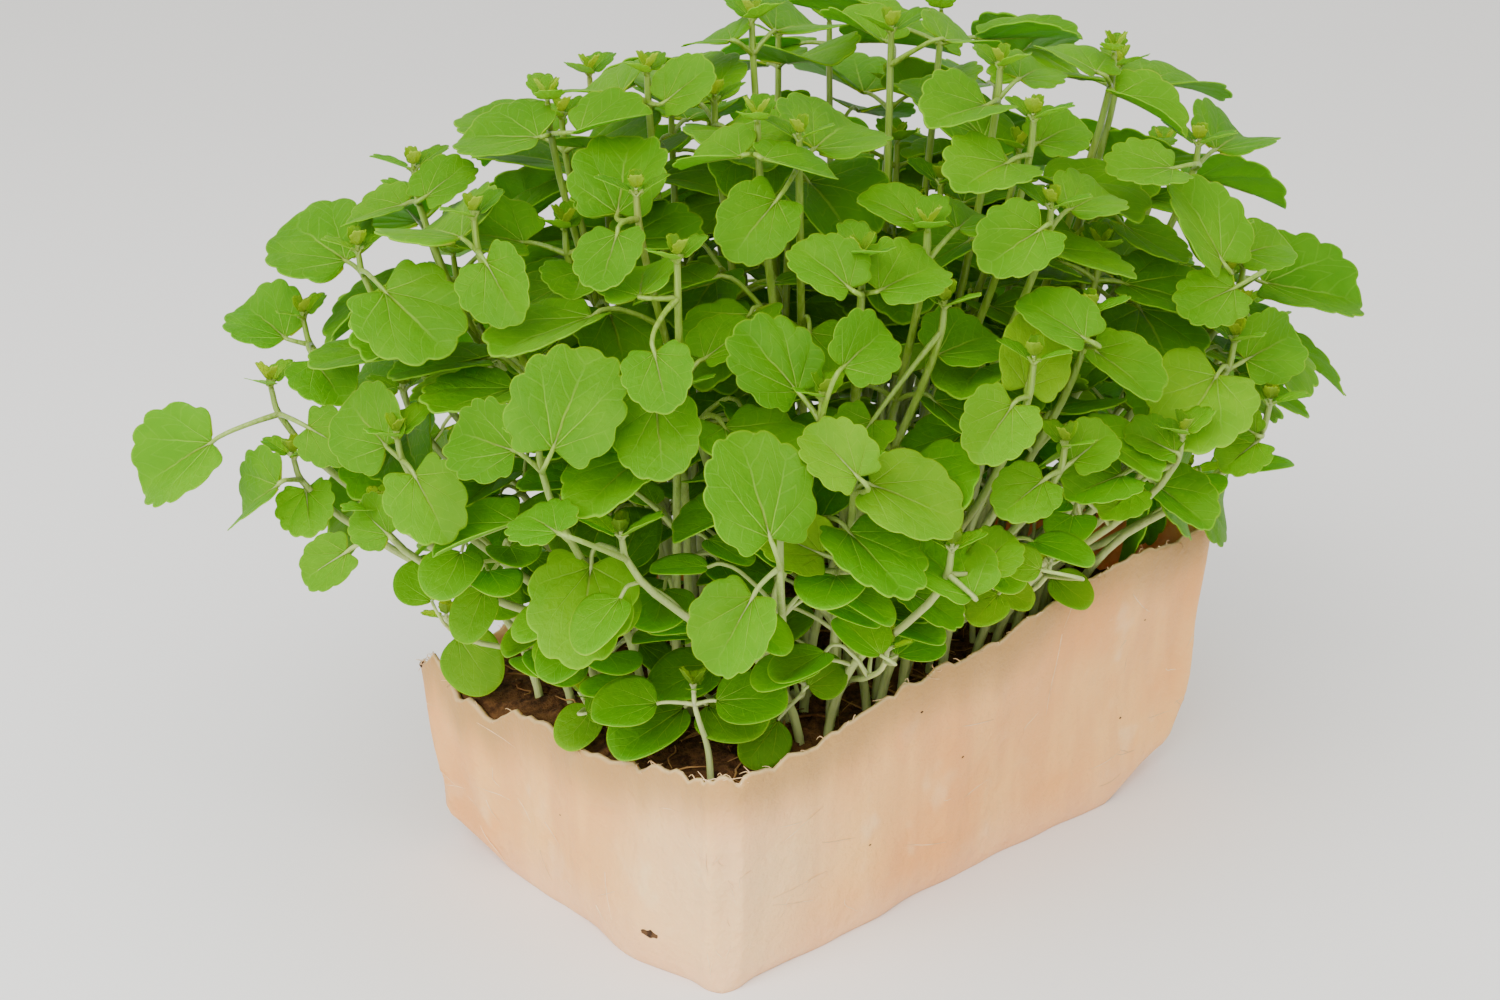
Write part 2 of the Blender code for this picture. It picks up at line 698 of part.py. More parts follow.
def soft_wall(index, level):
    """How far the soft wall stands out or in at one column and height."""
    share = level / RIM_LEVEL
    swell = 0.0005 * math.sin(index * 1.9) * math.sin(share * math.pi)
    return swell + 0.0006 * share * math.sin(index * 0.37)


def wall_ring(level, inset):
    """One ring of the wall as Vectors at a height."""
    ring = []
    for index, flat in enumerate(tray_outline(level, inset)):
        out = flat.normalized() * soft_wall(index, level)
        ring.append(Vector((flat.x + out.x, flat.y + out.y, level)))
    return ring


def along_rim(heights, share):
    """The height at a share of the way along a row of evenly spaced rim heights."""
    place = min(1.0, max(0.0, share)) * (len(heights) - 1)
    step = min(len(heights) - 2, int(place))
    return blend(heights[step], heights[step + 1], place - step)


def rim_height(index, x, y):
    """The torn rim's height: by the rows of heights along two sides, straight along the others."""
    share_x = x / TRAY_LENGTH + 0.5
    share_y = y / TRAY_WIDTH + 0.5
    back = blend(LEFT_RIM[-1], FAR_RIM, share_x)
    right = blend(FRONT_RIM[-1], FAR_RIM, share_y)
    level = blend(along_rim(FRONT_RIM, share_x), back, share_y)
    level += blend(along_rim(LEFT_RIM, share_y), right, share_x)
    level -= blend(blend(LEFT_RIM[0], FRONT_RIM[-1], share_x), back, share_y)
    ragged = noise.noise(Vector((index * 0.8, 3.1, 0.5))) + 0.6 * math.sin(index * 2.4)
    return level + RIM_RAGGED * ragged


def rim_ring(inset):
    """The rim's ring, with its own height at each column."""
    ring = []
    for index, point in enumerate(wall_ring(RIM_LEVEL, inset)):
        ring.append(Vector((point.x, point.y, rim_height(index, point.x, point.y))))
    return ring


def bridge(solid, low, high):
    """Quads between two rings of corners."""
    for index, corner in enumerate(low):
        following = (index + 1) % len(low)
        solid.faces.new((corner, low[following], high[following], high[index]))


def loft(rings):
    """A closed solid through rings, with a flat face at each end."""
    solid = bmesh.new()
    corners = [[solid.verts.new(point) for point in ring] for ring in rings]
    for low, high in zip(corners, corners[1:]):
        bridge(solid, low, high)
    solid.faces.new(list(reversed(corners[0])))
    solid.faces.new(corners[-1])
    bmesh.ops.recalc_face_normals(solid, faces=solid.faces)
    bmesh.ops.triangulate(solid, faces=solid.faces)
    return solid


def tray_rings():
    """Up the outer wall, over the rim, and down the inner wall to the floor."""
    rings = [wall_ring(0.0, FOOT_EDGE)]
    rings += [wall_ring(level, 0.0) for level in WALL_LEVELS]
    rings.append(rim_ring(0.0))
    rings.append(rim_ring(WALL))
    rings += [wall_ring(level, WALL) for level in reversed(WALL_LEVELS)]
    rings.append(wall_ring(WALL, WALL + FOOT_EDGE))
    return rings


def hole_ring(plant, level):
    """The four corners of the plain hole round a stem's foot."""
    foot = plant.rings[0]
    corners = ring_corners(foot._replace(radius=STEM_RADIUS + HOLE_GAP))
    return [Vector((corner.x, corner.y, level)) for corner in corners]


def soil_solid(plants):
    """The block of soil inside the wall: a lumpy top, with a plain hole for each stem."""
    inset = WALL + GAP
    rings = [wall_ring(WALL + GAP, inset + FOOT_EDGE)]
    rings += [wall_ring(level, inset) for level in WALL_LEVELS]
    brim = []
    for low, high in zip(rings[-1], rim_ring(inset)):
        level = min(soil_height(low.x, low.y), high.z) - SOIL_EDGE_DROP
        brim.append(low.lerp(high, (level - low.z) / (high.z - low.z)))
    rings.append(brim)
    solid = bmesh.new()
    corners = [[solid.verts.new(point) for point in ring] for ring in rings]
    for low, high in zip(corners, corners[1:]):
        bridge(solid, low, high)
    solid.faces.new(list(reversed(corners[0])))
    top = list(corners[-1])
    border = [(index, (index + 1) % len(top)) for index in range(len(top))]
    holes = []
    for plant in plants:
        level = soil_height(plant.rings[0].centre.x, plant.rings[0].centre.y)
        hole = [solid.verts.new(corner) for corner in hole_ring(plant, level)]
        floor = [solid.verts.new(corner) for corner in hole_ring(plant, level - ROOT_DEPTH - GAP)]
        bridge(solid, hole, floor)
        solid.faces.new(floor)
        border += [(len(top) + index, len(top) + (index + 1) % 4) for index in range(4)]
        holes.append(set(range(len(top), len(top) + 4)))
        top += hole
    columns, rows = SOIL_GRID
    for column in range(columns):
        for row in range(rows):
            x = (column / (columns - 1) - 0.5) * (TRAY_LENGTH - 2 * SOIL_GRID_MARGIN)
            y = (row / (rows - 1) - 0.5) * (TRAY_WIDTH - 2 * SOIL_GRID_MARGIN)
            spot = Vector((x, y, soil_height(x, y)))
            if all((spot - plant.rings[1].centre).length > CLEAR_HOLE for plant in plants):
                top.append(solid.verts.new(spot))
    flat = [Vector((corner.co.x, corner.co.y)) for corner in top]
    cells = geometry.delaunay_2d_cdt(flat, border, [], 1, 1e-7)[2]
    for cell in cells:
        if not any(set(cell) <= hole for hole in holes):
            solid.faces.new([top[index] for index in cell])
    bmesh.ops.recalc_face_normals(solid, faces=solid.faces)
    bmesh.ops.triangulate(solid, faces=solid.faces)
    return solid


# Objects and materials


def plain_material(name, colour, roughness):
    material = bpy.data.materials.new(name)
    material.use_nodes = True
    shader = material.node_tree.nodes["Principled BSDF"]
    shader.inputs["Base Color"].default_value = (*colour, 1)
    shader.inputs["Roughness"].default_value = roughness
    shader.inputs["Metallic"].default_value = 0
    material.diffuse_color = (*colour, 1)
    return material


def put_object(name, solid, material):
    """A named object from a bmesh."""
    mesh = bpy.data.meshes.new(name)
    solid.to_mesh(mesh)
    solid.free()
    mesh.materials.append(material)
    made = bpy.data.objects.new(name, mesh)
    bpy.context.scene.collection.objects.link(made)
    return made


def soil_tree():
    """A search tree of the soil's lumpy top, inside the tray's wall."""
    columns, rows = (2 * count for count in SOIL_GRID)
    points = []
    for row in range(rows):
        for column in range(columns):
            x = (column / (columns - 1) - 0.5) * (TRAY_LENGTH - SOIL_GRID_MARGIN)
            y = (row / (rows - 1) - 0.5) * (TRAY_WIDTH - SOIL_GRID_MARGIN)
            points.append(Vector((x, y, soil_height(x, y))))
    cells = []
    for row in range(rows - 1):
        for column in range(columns - 1):
            low = row * columns + column
            cells.append((low, low + 1, low + 1 + columns, low + columns))
    return BVHTree.FromPolygons(points, cells)


def ring_tree(rings):
    """A search tree of a lofted surface through rings."""
    points = [point for ring in rings for point in ring]
    count = len(rings[0])
    faces = []
    for level in range(len(rings) - 1):
        for index in range(count):
            following = (index + 1) % count
            low = level * count
            faces.append((low + index, low + following, low + following + count, low + index + count))
    return BVHTree.FromPolygons(points, faces)


def main():
    for old in list(bpy.data.objects):
        bpy.data.objects.remove(old)
    fibre = plain_material("fibre", (0.66, 0.50, 0.33), 0.85)
    earth = plain_material("earth", (0.15, 0.07, 0.03), 0.95)
    greens = [
        plain_material("leaf_green", (0.17, 0.33, 0.03), 0.55),
        plain_material("leaf_light", (0.34, 0.50, 0.06), 0.55),
        plain_material("leaf_deep", (0.07, 0.20, 0.02), 0.55),
    ]
    put_object("tray", loft(tray_rings()), fibre)
    plants = all_seedlings([ring_tree(tray_rings()), soil_tree()])
    put_object("soil", soil_solid(plants), earth)
    for index, plant in enumerate(plants):
        put_object(f"seedling_{index + 1:02d}", plant_solid(plant), greens[index % len(greens)])
    total = sum(len(made.data.polygons) for made in bpy.context.scene.objects)
    print(f"{len(plants)} seedlings, {total} triangles")


main()
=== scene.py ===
# %% [markdown]
# # A tray of microgreens
# This lesson dresses a plain solid model of a microgreens tray: young leafy seedlings that stand
# in dark soil, in a moulded tray of plant fibre. The solid model fixes every size and place, and
# each cell below gives one part of it a finer form and a finish. Lengths are in metres, Z is up,
# and the origin is the middle of the tray's flat underside.

import math
import random
from collections import namedtuple

import bmesh
import bpy
from mathutils import Matrix, Vector, noise
from mathutils.bvhtree import BVHTree
from mathutils.kdtree import KDTree


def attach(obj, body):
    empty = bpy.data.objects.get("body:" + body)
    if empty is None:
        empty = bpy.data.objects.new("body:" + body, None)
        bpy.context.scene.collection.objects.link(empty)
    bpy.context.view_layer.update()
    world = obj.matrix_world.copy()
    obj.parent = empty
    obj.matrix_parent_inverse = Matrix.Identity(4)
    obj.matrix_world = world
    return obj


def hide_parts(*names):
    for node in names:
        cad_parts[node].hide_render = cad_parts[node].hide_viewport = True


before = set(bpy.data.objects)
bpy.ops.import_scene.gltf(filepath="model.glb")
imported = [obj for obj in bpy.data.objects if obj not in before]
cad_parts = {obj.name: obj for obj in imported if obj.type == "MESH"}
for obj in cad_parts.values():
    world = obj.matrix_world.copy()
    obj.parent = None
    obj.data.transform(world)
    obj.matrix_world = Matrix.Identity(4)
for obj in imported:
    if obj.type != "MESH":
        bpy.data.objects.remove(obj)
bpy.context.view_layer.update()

# %% [markdown]
# ## The view
# The photograph looks across the tray's near corner from a little above. The camera stands on a
# line from the tray's middle, given by a turn and a rise. Its lens follows from the picture's
# width in pixels and the distance in pixels that stands for the focal length.

# %% Camera
PHOTO_SIZE = (1500, 1000)
PHOTO_MIDDLE = (750, 500)
PHOTO_FOCUS = 2500
VIEW_TURN = math.radians(-44)
VIEW_RISE = math.radians(20.3)
VIEW_DISTANCE = 0.426
VIEW_AIM = Vector((-0.007, 0.011, 0.055))
SENSOR = 36
UP = Vector((0, 0, 1))
VIEW_BACK = Vector((
    math.sin(VIEW_TURN) * math.cos(VIEW_RISE),
    -math.cos(VIEW_TURN) * math.cos(VIEW_RISE),
    math.sin(VIEW_RISE),
))
VIEW_RIGHT = UP.cross(VIEW_BACK).normalized()
VIEW_UP = VIEW_BACK.cross(VIEW_RIGHT)
EYE = VIEW_AIM + VIEW_BACK * VIEW_DISTANCE

camera_data = bpy.data.cameras.new("camera")
camera_data.sensor_width = SENSOR
camera_data.lens = SENSOR * PHOTO_FOCUS / PHOTO_SIZE[0]
camera_data.clip_start = 0.01
camera = bpy.data.objects.new("camera", camera_data)
camera.location = EYE
camera.rotation_euler = VIEW_BACK.to_track_quat("Z", "Y").to_euler()
bpy.context.scene.collection.objects.link(camera)
bpy.context.scene.camera = camera
print("camera lens:", round(camera_data.lens, 1), "mm")

# %% [markdown]
# ## Where the seedlings stand
# Every seedling of the solid model was read from the photograph, or grown by a rule on the sides
# that it doesn't show. The finer leaves have to stand at the same places, so this lesson grows
# the same seedlings again, from the same numbers: for each one the pixel where its two leaf
# stalks meet, then the middle, width and height of both leaves as they are drawn. The rule for
# the hidden sides draws each leaf's lift, length, stalk, breadth, cup and droop from a range.

# %% Seedlings read from the photograph
TRAY_LENGTH = 0.120
TRAY_WIDTH = 0.076
SOIL_LEVEL = 0.0325
SOIL_BUMP = 0.0012
SOIL_LOW_CORNER = 0.0022
ROOT_DEPTH = 0.0080
ROOT_SPACING = 0.0046
ROOT_SHARES = (0.58, 0.50)
ROOT_MARGIN = 0.0085
BLADE_THICKNESS = 0.0007
STEM_RADIUS = 0.00085
STEM_TOP_RADIUS = 0.00078
COLLAR_RISE = 0.0012
LOW_HANDLE = 0.40
HIGH_HANDLE = 0.30
BUD_RISE = 0.0035
FLATTEST = 0.34
TIP_LENGTHS = (0.0058, 0.0085)
SPROUT_TIP_LENGTH = 0.0038
TIP_STALK = 0.0005
SEED_LEAF_CHANCE = 0.45
SEED_LEAF_LENGTHS = (0.0080, 0.0105)
SEED_STALK = 0.0045
CANOPY_MIDDLE = 0.060
CANOPY_RISE = 0.078
CANOPY_HALF = (0.088, 0.066)
NECK_HALF = (0.060, 0.038)
NECK_LEVELS = (0.040, 0.075)
CANOPY_ROUNDNESS = 2.6
HIDDEN_SEEDLINGS = 19
HIDDEN_SPREAD = 34
HIDDEN_FACING = 0.32
HIDDEN_LEAVES = ((-0.1, 0.35), (0.0145, 0.0195), (0.0055, 0.0095), (0.92, 1.0), (0.04, 0.16), (0.05, 0.25))
SEED = 20
TRIES = 1500
ROOT_WANDER = 0.020
SINK_RANGE = 0.018
PIXEL_WANDER = 30

PHOTO_SEEDLINGS = [
    ((278, 412), (173, 463, 95, 100), (330, 440, 60, 62)),
    ((362, 272), (315, 238, 110, 92), (415, 320, 112, 96)),
    ((303, 350), (262, 316, 88, 74), (322, 393, 80, 60)),
    ((402, 458), (365, 422, 78, 92), (430, 508, 86, 80)),
    ((550, 462), (571, 400, 122, 117), (490, 448, 80, 90)),
    ((592, 552), (598, 627, 133, 122), (585, 500, 90, 56)),
    ((776, 560), (756, 486, 114, 118), (732, 633, 86, 92)),
    ((478, 250), (440, 228, 122, 56), (503, 292, 74, 80)),
    ((420, 205), (448, 180, 66, 56), (378, 212, 74, 44)),
    ((548, 142), (497, 138, 100, 66), (606, 118, 80, 44)),
    ((650, 112), (608, 92, 90, 36), (690, 84, 60, 66)),
    ((618, 224), (630, 172, 106, 96), (588, 255, 84, 66)),
    ((642, 300), (648, 266, 108, 58), (650, 340, 88, 78)),
    ((754, 160), (712, 158, 80, 36), (796, 166, 84, 36)),
    ((750, 56), (716, 38, 74, 32), (798, 28, 104, 44)),
    ((905, 62), (852, 28, 84, 42), (950, 48, 88, 38)),
    ((792, 180), (830, 125, 128, 74), (767, 224, 88, 84)),
    ((806, 402), (773, 352, 95, 98), (850, 356, 74, 80)),
    ((862, 302), (820, 266, 80, 70), (905, 272, 92, 72)),
    ((655, 402), (664, 440, 100, 88), (712, 350, 80, 60)),
    ((862, 482), (914, 500, 106, 88), (836, 450, 78, 78)),
    ((850, 566), (800, 545, 84, 82), (902, 574, 80, 50)),
    ((998, 98), (960, 110, 92, 47), (1034, 70, 70, 44)),
    ((1106, 88), (1070, 54, 78, 42), (1150, 106, 84, 48)),
    ((1025, 152), (985, 170, 96, 55), (1062, 130, 70, 60)),
    ((1195, 166), (1232, 138, 88, 54), (1140, 168, 76, 52)),
    ((1222, 262), (1203, 216, 84, 100), (1262, 240, 70, 58)),
    ((1248, 282), (1313, 290, 112, 92), (1200, 300, 74, 64)),
    ((1228, 368), (1196, 408, 114, 88), (1272, 346, 72, 78)),
    ((1052, 222), (1092, 198, 84, 56), (1004, 256, 86, 80)),
    ((948, 240), (962, 208, 88, 50), (908, 190, 76, 54)),
    ((1090, 345), (1124, 372, 88, 60), (1060, 316, 84, 66)),
    ((1024, 392), (1036, 354, 80, 84), (996, 428, 80, 74)),
    ((922, 362), (966, 336, 96, 66), (888, 410, 74, 60)),
    ((1138, 470), (1096, 484, 76, 60), (1180, 500, 76, 56)),
]

PHOTO_SPROUTS = [
    ((695, 702), (650, 730, 86, 58), (734, 718, 74, 52)),
    ((452, 630), (475, 662, 66, 68), (422, 580, 60, 50)),
    ((886, 660), (860, 636, 62, 42), (914, 642, 68, 40)),
    ((1046, 572), (1070, 590, 48, 40), (1020, 560, 48, 40)),
]
print(len(PHOTO_SEEDLINGS), "seedlings and", len(PHOTO_SPROUTS), "sprouts read from the photograph")

# %% [markdown]
# ## From a pixel to a place
# A pixel gives only a line of sight. The canopy has a rounded outline, a box with soft corners
# that narrows to the tray at the rim, and a leaf sits where its line of sight meets that outline.
# How wide and how high the leaf is drawn says how far it is tilted away from the camera.

# %% The canopy's outline and the lines of sight
Leaf = namedtuple("Leaf", "base axis normal length width teeth cup droop")
Ring = namedtuple("Ring", "centre along first radius")
Plant = namedtuple("Plant", "rings leaves")
LEFT, BACK, RIGHT, FRONT = range(4)


def smooth_step(value):
    """0 at 0 and below, 1 at 1 and above, and smooth between."""
    value = min(1.0, max(0.0, value))
    return value * value * (3 - 2 * value)


def blend(low, high, share):
    """A value at a share of the way from low to high."""
    return low + (high - low) * share


def sight_line(across, down):
    """The direction in which the photograph sees this pixel."""
    rightward = VIEW_RIGHT * ((across - PHOTO_MIDDLE[0]) / PHOTO_FOCUS)
    downward = VIEW_UP * ((PHOTO_MIDDLE[1] - down) / PHOTO_FOCUS)
    return (rightward + downward - VIEW_BACK).normalized()


def canopy_level(point):
    """Under 1 inside the canopy's rounded outline, over 1 outside it."""
    low, high = NECK_LEVELS
    swell = smooth_step((point.z - low) / (high - low))
    half_x = blend(NECK_HALF[0], CANOPY_HALF[0], swell)
    half_y = blend(NECK_HALF[1], CANOPY_HALF[1], swell)
    parts = (point.x / half_x, point.y / half_y, (point.z - CANOPY_MIDDLE) / CANOPY_RISE)
    return sum(abs(part) ** CANOPY_ROUNDNESS for part in parts)


def canopy_point(line):
    """Where a sight line enters the canopy, or passes it closest."""
    nearest = None
    lowest = math.inf
    for step in range(250):
        point = EYE + line * (0.30 + 0.001 * step)
        level = canopy_level(point)
        if level < 1:
            return point
        if level < lowest:
            nearest = point
            lowest = level
    return nearest


def canopy_outward(point):
    """The canopy outline's outward direction near a point."""
    step = 0.0005
    here = canopy_level(point)
    slopes = [canopy_level(point + Vector(way) * step) - here for way in ((1, 0, 0), (0, 1, 0), (0, 0, 1))]
    return Vector(slopes).normalized()


# %% Leaves placed by their pixels
def photo_leaf(crown, spot, teeth, sink, rng):
    """One leaf whose place, facing and size come from how the photograph draws it."""
    across, down, wide, high = spot
    line = sight_line(across, down)
    centre = canopy_point(line) + line * sink
    facing = max(FLATTEST, min(wide, high) / max(wide, high)) * rng.uniform(0.92, 1.0)
    outward = math.copysign(1, across - PHOTO_MIDDLE[0])
    if wide >= high:
        lean = (VIEW_UP + VIEW_RIGHT * (outward * 0.35)).normalized()
    else:
        lean = (VIEW_RIGHT * outward + VIEW_UP * 0.5).normalized()
    normal = VIEW_BACK * facing + lean * math.sqrt(1 - facing * facing)
    turn = math.atan2(crown[1] - down, across - crown[0])
    axis = VIEW_RIGHT * math.cos(turn) + VIEW_UP * math.sin(turn)
    axis -= VIEW_BACK * (axis.dot(normal) / normal.dot(VIEW_BACK))
    axis.normalize()
    length = max(wide, high) / PHOTO_FOCUS * -(centre - EYE).dot(VIEW_BACK)
    return Leaf(
        base=centre - axis * (length * 0.48),
        axis=axis,
        normal=normal,
        length=length,
        width=length * rng.uniform(0.94, 1.02),
        teeth=teeth,
        cup=rng.uniform(0.05, 0.16),
        droop=rng.uniform(0.02, 0.16),
    )


def photo_crown(pixel, leaves, behind):
    """Where the two leaf stalks meet, a little behind the leaves' bases."""
    line = sight_line(*pixel)
    depth = sum(-(leaf.base - EYE).dot(VIEW_BACK) for leaf in leaves) / 2 + behind
    return EYE + line * (depth / -line.dot(VIEW_BACK))


# %% [markdown]
# ## One seedling
# A seedling is a stem that rises straight out of the soil and leans out to its crown, with two
# large leaves on thin stalks, a young pair at the tip, and often a pair of round seed leaves
# lower down. The stem is kept as a row of rings, and each leaf as a place, two directions and
# two sizes, so the same seedling can be drawn coarse or fine.

# %% Stem and small leaves
def soil_height(x, y):
    """The lumpy top of the soil, lower towards the tray's lowest corner."""
    lumps = noise.noise(Vector((x * 90, y * 90, 1.7))) + 0.5 * noise.noise(Vector((x * 210, y * 210, 4.2)))
    low_corner = smooth_step((y - x) / (TRAY_LENGTH + TRAY_WIDTH) * 2)
    return SOIL_LEVEL + SOIL_BUMP * lumps - SOIL_LOW_CORNER * low_corner


def root_place(crown, wander, rng):
    """Where the stem enters the soil: under the crown, drawn in towards the tray's middle."""
    turn = rng.uniform(0, math.tau)
    reach = wander * math.sqrt(rng.random())
    x = crown.x * ROOT_SHARES[0] + reach * math.cos(turn)
    y = crown.y * ROOT_SHARES[1] + reach * math.sin(turn) * 0.7
    limit_x = TRAY_LENGTH / 2 - ROOT_MARGIN
    limit_y = TRAY_WIDTH / 2 - ROOT_MARGIN
    return Vector((min(limit_x, max(-limit_x, x)), min(limit_y, max(-limit_y, y)), 0))


def curve_point(handles, share):
    """A point of the stem's curve and its direction there."""
    rest = 1 - share
    a, b, c, d = handles
    point = a * rest ** 3 + b * (3 * rest * rest * share) + c * (3 * rest * share * share) + d * share ** 3
    along = (b - a) * (rest * rest) + (c - b) * (2 * rest * share) + (d - c) * (share * share)
    return point, along.normalized()


def stem_rings(root, crown, span, bud_rise, seed_share):
    """Sections from the stem's foot in the soil, straight out of its hole, then leaning out to its bud.

    A leaf pair's node is two sections, one leaf's thickness apart. The last two nodes are the crown
    and the bud, and the seed leaves' node comes before them where there is one.
    """
    ground = soil_height(root.x, root.y)
    collar = Vector((root.x, root.y, ground + COLLAR_RISE))
    lean = crown - collar
    low_handle = collar + UP * (lean.z * LOW_HANDLE)
    high_handle = crown - (lean.normalized() * 0.6 + UP * 0.4) * (lean.length * HIGH_HANDLE)
    handles = (collar, low_handle, high_handle, crown)
    spots = [(Vector((root.x, root.y, ground - ROOT_DEPTH)), UP), (collar, UP)]
    shares = [(0.33, False), (0.67, False)]
    if seed_share:
        shares = [(seed_share * 0.5, False), (seed_share, True), (seed_share * 0.5 + 0.5, False)]
    shares.append((1.0, True))
    for share, is_node in shares:
        centre, along = curve_point(handles, share)
        if is_node:
            half = along * (BLADE_THICKNESS / 2)
            spots += [(centre - half, along), (centre + half, along)]
        else:
            spots.append((centre, along))
    rise = (along + UP).normalized()
    bud = crown + rise * bud_rise
    spots += [(bud, rise), (bud + rise * BLADE_THICKNESS, rise)]
    rings = []
    for index, (centre, along) in enumerate(spots):
        radius = blend(STEM_RADIUS, STEM_TOP_RADIUS, index / (len(spots) - 1))
        rings.append(Ring(centre, along, (span - along * span.dot(along)).normalized(), radius))
    return rings


def small_leaf(foot, way, tilt, stalk_length, length, teeth, rng):
    """A seed leaf, or a young leaf at the stem's tip, rising outward from the stem."""
    turned = (way + Vector((rng.uniform(-0.2, 0.2), rng.uniform(-0.2, 0.2), 0))).normalized()
    axis = (turned * math.cos(tilt) + UP * math.sin(tilt)).normalized()
    normal = axis.cross(UP).normalized().cross(axis)
    size = length * rng.uniform(0.88, 1.08)
    return Leaf(
        base=foot + axis * (STEM_RADIUS + stalk_length),
        axis=(axis - normal * 0.2).normalized(),
        normal=(normal + axis * 0.2).normalized(),
        length=size,
        width=size * (0.95 if teeth == 0 else 0.78),
        teeth=teeth,
        cup=rng.uniform(0.06, 0.14),
        droop=rng.uniform(0.0, 0.10),
    )


# %% The whole seedling
def seedling(crown, leaves, root, rng, sprout):
    """The whole plant: stem, its two large leaves, the young pair at the tip and the seed leaves below."""
    ways = [(leaf.base - crown).normalized() for leaf in leaves]
    span = ways[0] - ways[1]
    span.z *= 0.3
    span.normalize()
    has_seed_leaves = not sprout and crown.z > 0.075 and rng.random() < SEED_LEAF_CHANCE
    seed_share = rng.uniform(0.42, 0.62) if has_seed_leaves else 0
    bud_rise = BUD_RISE * (0.5 if sprout else rng.uniform(0.8, 1.4))
    rings = stem_rings(root, crown, span, bud_rise, seed_share)
    grown = [(len(rings) - 4, FRONT, leaves[0]), (len(rings) - 4, BACK, leaves[1])]
    bud = rings[-2]
    across = bud.along.cross(bud.first)
    tip_length = SPROUT_TIP_LENGTH if sprout else rng.uniform(*TIP_LENGTHS)
    for side, hand in ((LEFT, 1), (RIGHT, -1)):
        leaf = small_leaf(bud.centre, across * hand, math.radians(40), TIP_STALK, tip_length, 1, rng)
        grown.append((len(rings) - 2, side, leaf))
    if has_seed_leaves:
        node = rings[3]
        across = node.along.cross(node.first)
        length = rng.uniform(*SEED_LEAF_LENGTHS)
        for side, hand in ((LEFT, 1), (RIGHT, -1)):
            leaf = small_leaf(node.centre, across * hand, math.radians(14), SEED_STALK, length, 0, rng)
            grown.append((3, side, leaf))
    return Plant(rings, grown)


# %% The two ways to place one
def from_photo(row, teeth, attempt, rng):
    """A seedling whose two large leaves are where the photograph shows them.

    Later attempts let the leaves sit deeper in the canopy, the higher one deepest, and a little aside.
    """
    pixel, *spots = row
    drawn = random.Random(f"{pixel}")
    loose = attempt / (TRIES / 2)
    top = min(spot[1] for spot in spots)
    leaves = []
    for number, (across, down, wide, high) in enumerate(spots):
        wander = PIXEL_WANDER * loose * (0.35 + 0.65 * number)
        moved = (
            across + rng.uniform(-wander, wander), down + rng.uniform(-wander, wander),
            wide * (1 - 0.10 * loose), high * (1 - 0.10 * loose),
        )
        sink = SINK_RANGE * loose * rng.uniform(-0.15, 1.0 if down == top else 0.6)
        leaves.append(photo_leaf(pixel, moved, teeth, sink, drawn))
    wander = PIXEL_WANDER * loose
    moved = (pixel[0] + rng.uniform(-wander, wander), pixel[1] + rng.uniform(-wander, wander))
    return photo_crown(moved, leaves, rng.uniform(0.002 - 0.006 * loose, 0.004 + 0.006 * loose)), leaves


def leaf_pair(crown, normal, turn, ranges, teeth, rng):
    """Two leaves that face the normal, on opposite sides of their crown."""
    lift, length_range, stalk, breadth, cup, droop = ranges
    first = normal.orthogonal().normalized()
    second = normal.cross(first)
    leaves = []
    for hand in (-1, 1):
        way = (first * math.cos(turn) + second * math.sin(turn)) * hand
        axis = (way + normal * rng.uniform(*lift)).normalized()
        side = axis.cross(normal).normalized()
        length = rng.uniform(*length_range)
        leaves.append(Leaf(
            base=crown + axis * rng.uniform(*stalk),
            axis=axis,
            normal=side.cross(axis),
            length=length,
            width=length * rng.uniform(*breadth),
            teeth=teeth,
            cup=rng.uniform(*cup),
            droop=rng.uniform(*droop),
        ))
    return leaves


def from_rule(direction, attempt, rng):
    """A seedling of a side that the photograph doesn't show, whose leaves follow the canopy's outline."""
    inner = Vector((0, 0, CANOPY_MIDDLE))
    reach = 0.05
    while canopy_level(inner + direction * reach) < 1:
        reach += 0.001
    crown = inner + direction * (reach - 0.007 - SINK_RANGE * rng.random() * min(1.0, attempt / 80))
    normal = (canopy_outward(crown) * 0.55 + UP * 0.45).normalized()
    turn = rng.uniform(0, math.pi)
    return crown, leaf_pair(crown, normal, turn, HIDDEN_LEAVES, 3, rng)


def dome_directions(count, top, span):
    """Even directions over a dome, each one also stretched to the canopy's outline."""
    golden = math.pi * (3 - math.sqrt(5))
    found = []
    for index in range(count):
        height = top - span * index / count
        ring = math.sqrt(1 - height * height)
        way = Vector((math.cos(index * golden) * ring, math.sin(index * golden) * ring, height))
        stretched = Vector((way.x * CANOPY_HALF[0], way.y * CANOPY_HALF[1], way.z * CANOPY_RISE))
        found.append((way, stretched.normalized()))
    return found


def hidden_directions():
    """The directions that point away from the photograph's view."""
    ways = dome_directions(HIDDEN_SPREAD, 0.95, 1.05)
    return [stretched for way, stretched in ways if way.dot(VIEW_BACK) < HIDDEN_FACING][:HIDDEN_SEEDLINGS]


# %% [markdown]
# ## Growing them again
# The solid model tried each seedling at slightly different places until it was clear of its
# neighbours. All those places come from one seeded stream of random numbers. The same places are
# drawn here, and the right one is known by its stem: the solid seedling, whose stem has four
# sides, has a corner at that stem's foot and another at its tip.

# %% Grow the solid model's seedlings again
FIT = 0.00001


def solid_corners(name):
    """A search tree of one solid's corners."""
    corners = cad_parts[name].data.vertices
    tree = KDTree(len(corners))
    for index, corner in enumerate(corners):
        tree.insert(corner.co, index)
    tree.balance()
    return tree


